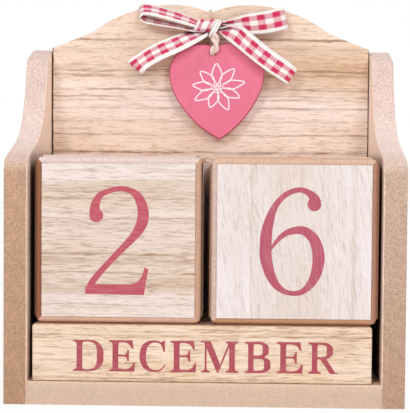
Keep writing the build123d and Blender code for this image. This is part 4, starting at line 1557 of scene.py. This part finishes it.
def heart_material():
    material, tree, shader = new_material("heart_paint", roughness=0.48, specular=0.35)
    place = millimetres(tree)
    pools = noise(tree, place, (0.12, 0.12, 0.10), detail=3)
    grain = noise(tree, place, (1.6, 1.0, 0.22), detail=3, roughness=0.6)
    paint = blend_colours(tree, ramp(tree, pools, (0.35, 0), (0.65, 1)), HEART_PINK, HEART_PINK_DEEP)
    # painted shade: a deeper pink where the surface turns away from the front
    turned = parts_of(tree, node(tree, "ShaderNodeTexCoord").outputs["Normal"])[1]
    edge = ramp(tree, math_node(tree, "ABSOLUTE", turned), (0.72, 1), (0.985, 0))
    colour = blend_colours(tree, edge, paint, HEART_EDGE_SHADE)
    tree.links.new(colour, shader.inputs["Base Color"])
    tree.links.new(ramp(tree, pools, (0.3, 0.42), (0.7, 0.55)), shader.inputs["Roughness"])
    add_bump(tree, shader, grain, distance=0.03)
    return material


finish_node("heart_pendant", heart_material())

# %% [markdown]
# ## A line flower
# A mountain flower in white line is a common ornament on such hearts. This one is laid out
# on a plain wheel: nine pointed petals of uneven length that overlap where they are widest,
# and a ring of small florets round one in the middle. Every line is a pen stroke, finer in
# the florets than in the petals, and all strokes are joined into one film, as one pass of a
# screen lays it.

# %% Flower
FLOWER_LINE = 0.42
FLORET_LINE = 0.3
LOBE_DEPTH = 8.3  # mm from the heart's top
FLOWER_CENTRE = Vector((0.3, 0, -6.5))  # from the middle of the heart, a lobe below its top
FLOWER_LEAN = radians(3)
PETAL_COUNT = 9
PETAL = [(1.9, 0.55), (4.1, 1.55), (6.3, 1.20), (8.6, 0.0)]
FLOWER_SPREAD = Vector((1.06, 0.92))  # wider than high
FLORET_COUNT = 6
FLORET_RADIUS = 0.5
FLORET_REACH = 1.3
FLORET_STEPS = 6
FLORET_OVERLAP = 0.05  # radians
PETAL_STRETCH = [1.0, 0.92, 0.90, 0.96, 0.86, 1.0, 0.90, 1.0, 0.98]


def petal_stroke(angle, stretch):
    """A petal's two sides. Its points are along and beside a ray from the flower's centre."""
    points = PETAL + [(along, -aside) for along, aside in PETAL[-2::-1]]
    ray = Vector((cos(angle), sin(angle)))
    side = Vector((-ray.y, ray.x))
    placed = [ray * along * stretch + side * aside for along, aside in points]
    return pen(*((p.x * FLOWER_SPREAD.x, p.y * FLOWER_SPREAD.y, FLOWER_LINE) for p in placed), pieces=4)


def floret(x, y):
    """A small ring in two halves that overlap a little."""
    halves = []
    for start in (0, pi):
        arc = [start + pi * step / FLORET_STEPS - FLORET_OVERLAP for step in range(FLORET_STEPS + 1)]
        arc[-1] += 2 * FLORET_OVERLAP
        points = [(x + FLORET_RADIUS * cos(a), y + FLORET_RADIUS * sin(a), FLORET_LINE) for a in arc]
        halves.append(pen(*points, pieces=2))
    return halves


flower_parts = floret(0, 0)
for petal, stretch in enumerate(PETAL_STRETCH):
    flower_parts.append(petal_stroke(pi / 2 + 2 * pi * petal / PETAL_COUNT, stretch))
for spot in range(FLORET_COUNT):
    angle = 2 * pi * spot / FLORET_COUNT
    flower_parts += floret(FLORET_REACH * cos(angle), FLORET_REACH * sin(angle))

white_ink, white_tree, white_shader = new_material("white_line_ink", roughness=0.5)
chalk = noise(white_tree, millimetres(white_tree), (1.5, 1.5, 1.5), detail=3)
white_tree.links.new(
    blend_colours(white_tree, chalk, linear(255, 246, 250), linear(250, 232, 240)),
    white_shader.inputs["Base Color"],
)
add_bump(white_tree, white_shader, chalk, distance=0.01)

heart_low, heart_high = (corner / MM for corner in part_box("heart_pendant"))
heart_front = Vector(((heart_low.x + heart_high.x) / 2, heart_low.y, heart_high.z - LOBE_DEPTH))
turn = Matrix.Rotation(-FLOWER_LEAN, 4, "Y") @ Matrix.Rotation(pi / 2, 4, "X")
bm = bmesh.new()
film(bm, flower_parts, 1.0, Vector((0, 0)), Matrix.Translation(heart_front + FLOWER_CENTRE) @ turn)
bmesh.ops.recalc_face_normals(bm, faces=bm.faces)
flower = finished("heart_flower", bm, white_ink, smooth=False)
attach(flower, "heart")
print("flower of", len(flower_parts), "strokes")

# %% [markdown]
# ## Twine
# The heart hangs on a soft twine of two plies that goes up into the knot on both sides of
# the board it carries, and a thinner one ties the bow to the back panel. A twine could be a
# tube with stripes, but a real one is two round plies laid round each other, and their
# valleys catch the shade. Each route becomes a smooth curve, and each ply is a tube swept
# ring by ring along a helix round it. The tube's UV map runs along and round the ply, so
# that its fibres can slant round it.

# %% Twine material
# How far the painted shade in the valleys between the plies reaches.
VALLEY_SHADE_REACH = 1.0 * MM


def twine_material(name, pale, shade, fibre):
    material, tree, shader = new_material(name, roughness=0.9, specular=0.15)
    shader.inputs["Sheen Weight"].default_value = 0.3
    uv = node(tree, "ShaderNodeUVMap", uv_map="ply").outputs[0]
    spun = noise(tree, uv, (0.9, 2.6, 1.0), detail=3, roughness=0.6)
    place = millimetres(tree)
    tufts = noise(tree, place, (1.3, 1.3, 1.3), detail=3)
    body = blend_colours(tree, ramp(tree, tufts, (0.35, 0), (0.7, 1)), pale, shade)
    colour = blend_colours(tree, ramp(tree, spun, (0.5, 0), (0.7, 0.8)), body, fibre)
    # painted shade: where the plies lie close, the colour goes over into the fibre tone
    openness = node(tree, "ShaderNodeAmbientOcclusion", {"Distance": VALLEY_SHADE_REACH}).outputs["AO"]
    colour = blend_colours(tree, ramp(tree, openness, (0.35, 1), (0.75, 0)), colour, fibre)
    tree.links.new(colour, shader.inputs["Base Color"])
    add_bump(tree, shader, spun, distance=0.12)
    return material


pale_twine = twine_material("pale_twine", linear(250, 232, 220), linear(238, 212, 196), linear(196, 156, 136))
tan_twine = twine_material("tan_twine", linear(240, 214, 186), linear(228, 198, 168), linear(196, 160, 130))


# %% Plies
PLIES = 2
PLY_RADIUS, PLY_OFFSET = 0.27, 0.23  # shares of the twine's diameter
STEPS_PER_DIAMETER = 5
TAPER = 1.5  # mm


def smooth_route(points):
    """The route's own spline, as a list of points in millimetres."""
    line = bpy.data.curves.new("route", "CURVE")
    line.dimensions = "3D"
    line.resolution_u = 16
    spline = line.splines.new("NURBS")
    spline.points.add(len(points) - 1)
    for spot, point in zip(spline.points, points):
        spot.co = (*point, 1)
    spline.order_u = 3
    spline.use_endpoint_u = True
    holder = bpy.data.objects.new("route", line)
    mesh = bpy.data.meshes.new_from_object(holder)
    route = [v.co.copy() for v in mesh.vertices]
    bpy.data.objects.remove(holder)
    bpy.data.curves.remove(line)
    bpy.data.meshes.remove(mesh)
    return route


def even_steps(route, step):
    """Points along a route, a fixed step apart."""
    spots, left = [route[0]], step
    for start, end in zip(route, route[1:]):
        span = (end - start).length
        while left <= span:
            spots.append(start.lerp(end, left / span))
            left += step
        left -= span
    return spots


def frames_along(spots):
    """A point, two sides and a travelled length for each spot, with no sudden turn."""
    side = Vector((1, 0, 0))
    travelled = 0.0
    frames = []
    for i, spot in enumerate(spots):
        ahead = (spots[min(i + 1, len(spots) - 1)] - spots[max(i - 1, 0)]).normalized()
        side = (side - ahead * side.dot(ahead)).normalized()
        if i:
            travelled += (spot - spots[i - 1]).length
        frames.append((spot, side.copy(), ahead.cross(side), travelled))
    return frames


def sweep_ply(bm, frames, radius, offset, pitch, phase, shares, sides=10):
    """Sweeps a ring along a helix round the frames, and closes both ends."""
    uv_layer = bm.loops.layers.uv.get("ply") or bm.loops.layers.uv.new("ply")
    ring = bmesh.ops.create_circle(bm, segments=sides, radius=radius)["verts"]
    edges = list({edge for vert in ring for edge in vert.link_edges})
    bmesh.ops.contextual_create(bm, geom=edges)
    for i, (frame, share) in enumerate(zip(frames, shares)):
        if i:
            grown = bmesh.ops.extrude_edge_only(bm, edges=edges)["geom"]
            new_verts = {v for v in grown if isinstance(v, bmesh.types.BMVert)}
            older = ring
            ring = [
                next(e.other_vert(v) for e in v.link_edges if e.other_vert(v) in new_verts) for v in older
            ]
            edges = [e for e in grown if isinstance(e, bmesh.types.BMEdge) and set(e.verts) <= new_verts]
            rows = {v: (i, k) for k, v in enumerate(ring)} | {v: (i - 1, k) for k, v in enumerate(older)}
            for face in {face for v in new_verts for face in v.link_faces}:
                seam = max(rows[loop.vert][1] for loop in face.loops) == sides - 1
                for loop in face.loops:
                    step, k = rows[loop.vert]
                    around = sides if seam and k == 0 else k
                    loop[uv_layer].uv = (frames[step][3], around / sides * 2 * pi * radius)
        place_ring(ring, frame, radius * share, offset * share, phase + 2 * pi * frame[3] / pitch)
    bmesh.ops.contextual_create(bm, geom=edges)


def place_ring(ring, frame, radius, offset, turned):
    spot, side, up, _ = frame
    centre = spot + (side * cos(turned) + up * sin(turned)) * offset
    for k, vert in enumerate(ring):
        around = 2 * pi * k / len(ring)
        vert.co = centre + (side * cos(around) + up * sin(around)) * radius


def lay_twine(name, route, diameter, pitch, material, body, replaced, narrow=None):
    """Lays twine along a route. Narrow is a length along it and the share it shrinks to there."""
    spots = even_steps(smooth_route(route), diameter / STEPS_PER_DIAMETER)
    frames = frames_along(spots)
    shares = [1.0] * len(frames)
    if narrow:
        end, least = narrow
        tapered = [min(max(frame[3] - end + TAPER, 0) / TAPER, 1) for frame in frames]
        shares = [1 - (1 - least) * share for share in tapered]
    bm = bmesh.new()
    for ply in range(PLIES):
        phase = 2 * pi * ply / PLIES
        sweep_ply(bm, frames, diameter * PLY_RADIUS, diameter * PLY_OFFSET, pitch, phase, shares)
    bmesh.ops.recalc_face_normals(bm, faces=bm.faces)
    twine = finished(name, bm, material)
    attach(twine, body)
    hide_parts(replaced)
    print(name, round(frames[-1][3], 1), "mm of", diameter, "mm twine,", len(twine.data.polygons), "faces")


PENDANT_ROUTE = [
    (0.9, 19.05, 115.6),
    (1.4, 17.3, 114.0),
    (2.1, 16.3, 112.0),
    (1.9, 15.9, 110.0),
    (1.15, 15.9, 108.5),
    (1.1, 18.6, 108.75),
    (1.1, 22.1, 108.75),
    (0.9, 22.1, 111.55),
    (0.7, 21.35, 114.3),
    (0.7, 21.35, 116.0),
]
HANGING_ROUTE = [
    (0, 22.35, 118.7),
    (0, 22.35, 122.97),
    (0, 29.35, 122.97),
    (0, 29.35, 118.0),
    (0, 22.0, 118.0),
]
lay_twine(
    "pendant_twine_plies",
    PENDANT_ROUTE,
    diameter=2.8,
    pitch=-7.5,
    material=pale_twine,
    body="heart",
    replaced="pendant_twine",
    narrow=(9.0, 0.82),
)
lay_twine(
    "hanging_twine_plies",
    HANGING_ROUTE,
    diameter=1.2,
    pitch=-3.6,
    material=tan_twine,
    body="tray",
    replaced="hanging_twine",
)

# %% [markdown]
# ## Fibres and brads
# The ends of the twine are teased out above the knot, towards the notch: a few fine fibres,
# each a thin tube along its own short curve. The brads are plain bright steel.

# %% Fibres
FIBRE_DIAMETER = 0.16
FIBRE_COUNT = 12
FIBRE_FOOT = 119.2  # mm above the floor
chance = random.Random(4)
bm = bmesh.new()
for _ in range(FIBRE_COUNT):
    start = Vector((chance.uniform(0.2, 3.4), chance.uniform(19.0, 21.5), FIBRE_FOOT))
    lean = Vector((chance.uniform(-1.6, 1.4), chance.uniform(-0.4, 0.6), 0))
    rise = chance.uniform(1.6, 3.4)
    bow = Vector((chance.uniform(-0.6, 0.6), chance.uniform(-0.4, 0.4), rise * 0.6))
    curve = through([start, start + lean * 0.35 + bow, start + lean + Vector((0, 0, rise))], 5)
    sweep_ply(
        bm,
        frames_along(curve),
        FIBRE_DIAMETER / 2,
        offset=0,
        pitch=10,
        phase=0,
        shares=[1.0] * len(curve),
        sides=6,
    )
bmesh.ops.recalc_face_normals(bm, faces=bm.faces)
fibres = finished("twine_fibres", bm, tan_twine)
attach(fibres, "tray")
print(FIBRE_COUNT, "fibres")


# %% Brads
def steel_material():
    material, tree, shader = new_material("brad_steel", roughness=0.35, specular=0.5)
    shader.inputs["Metallic"].default_value = 1.0
    place = millimetres(tree)
    worn = noise(tree, place, (2.0, 2.0, 2.0), detail=3)
    tree.links.new(
        blend_colours(tree, worn, linear(200, 198, 192), linear(172, 168, 160)), shader.inputs["Base Color"]
    )
    tree.links.new(ramp(tree, worn, (0.3, 0.28), (0.7, 0.45)), shader.inputs["Roughness"])
    return material


brad_steel = steel_material()
for name in ("side_panel_brads", "back_panel_brads"):
    finish_node(name, brad_steel)
print("steel on 2 sets of brads")
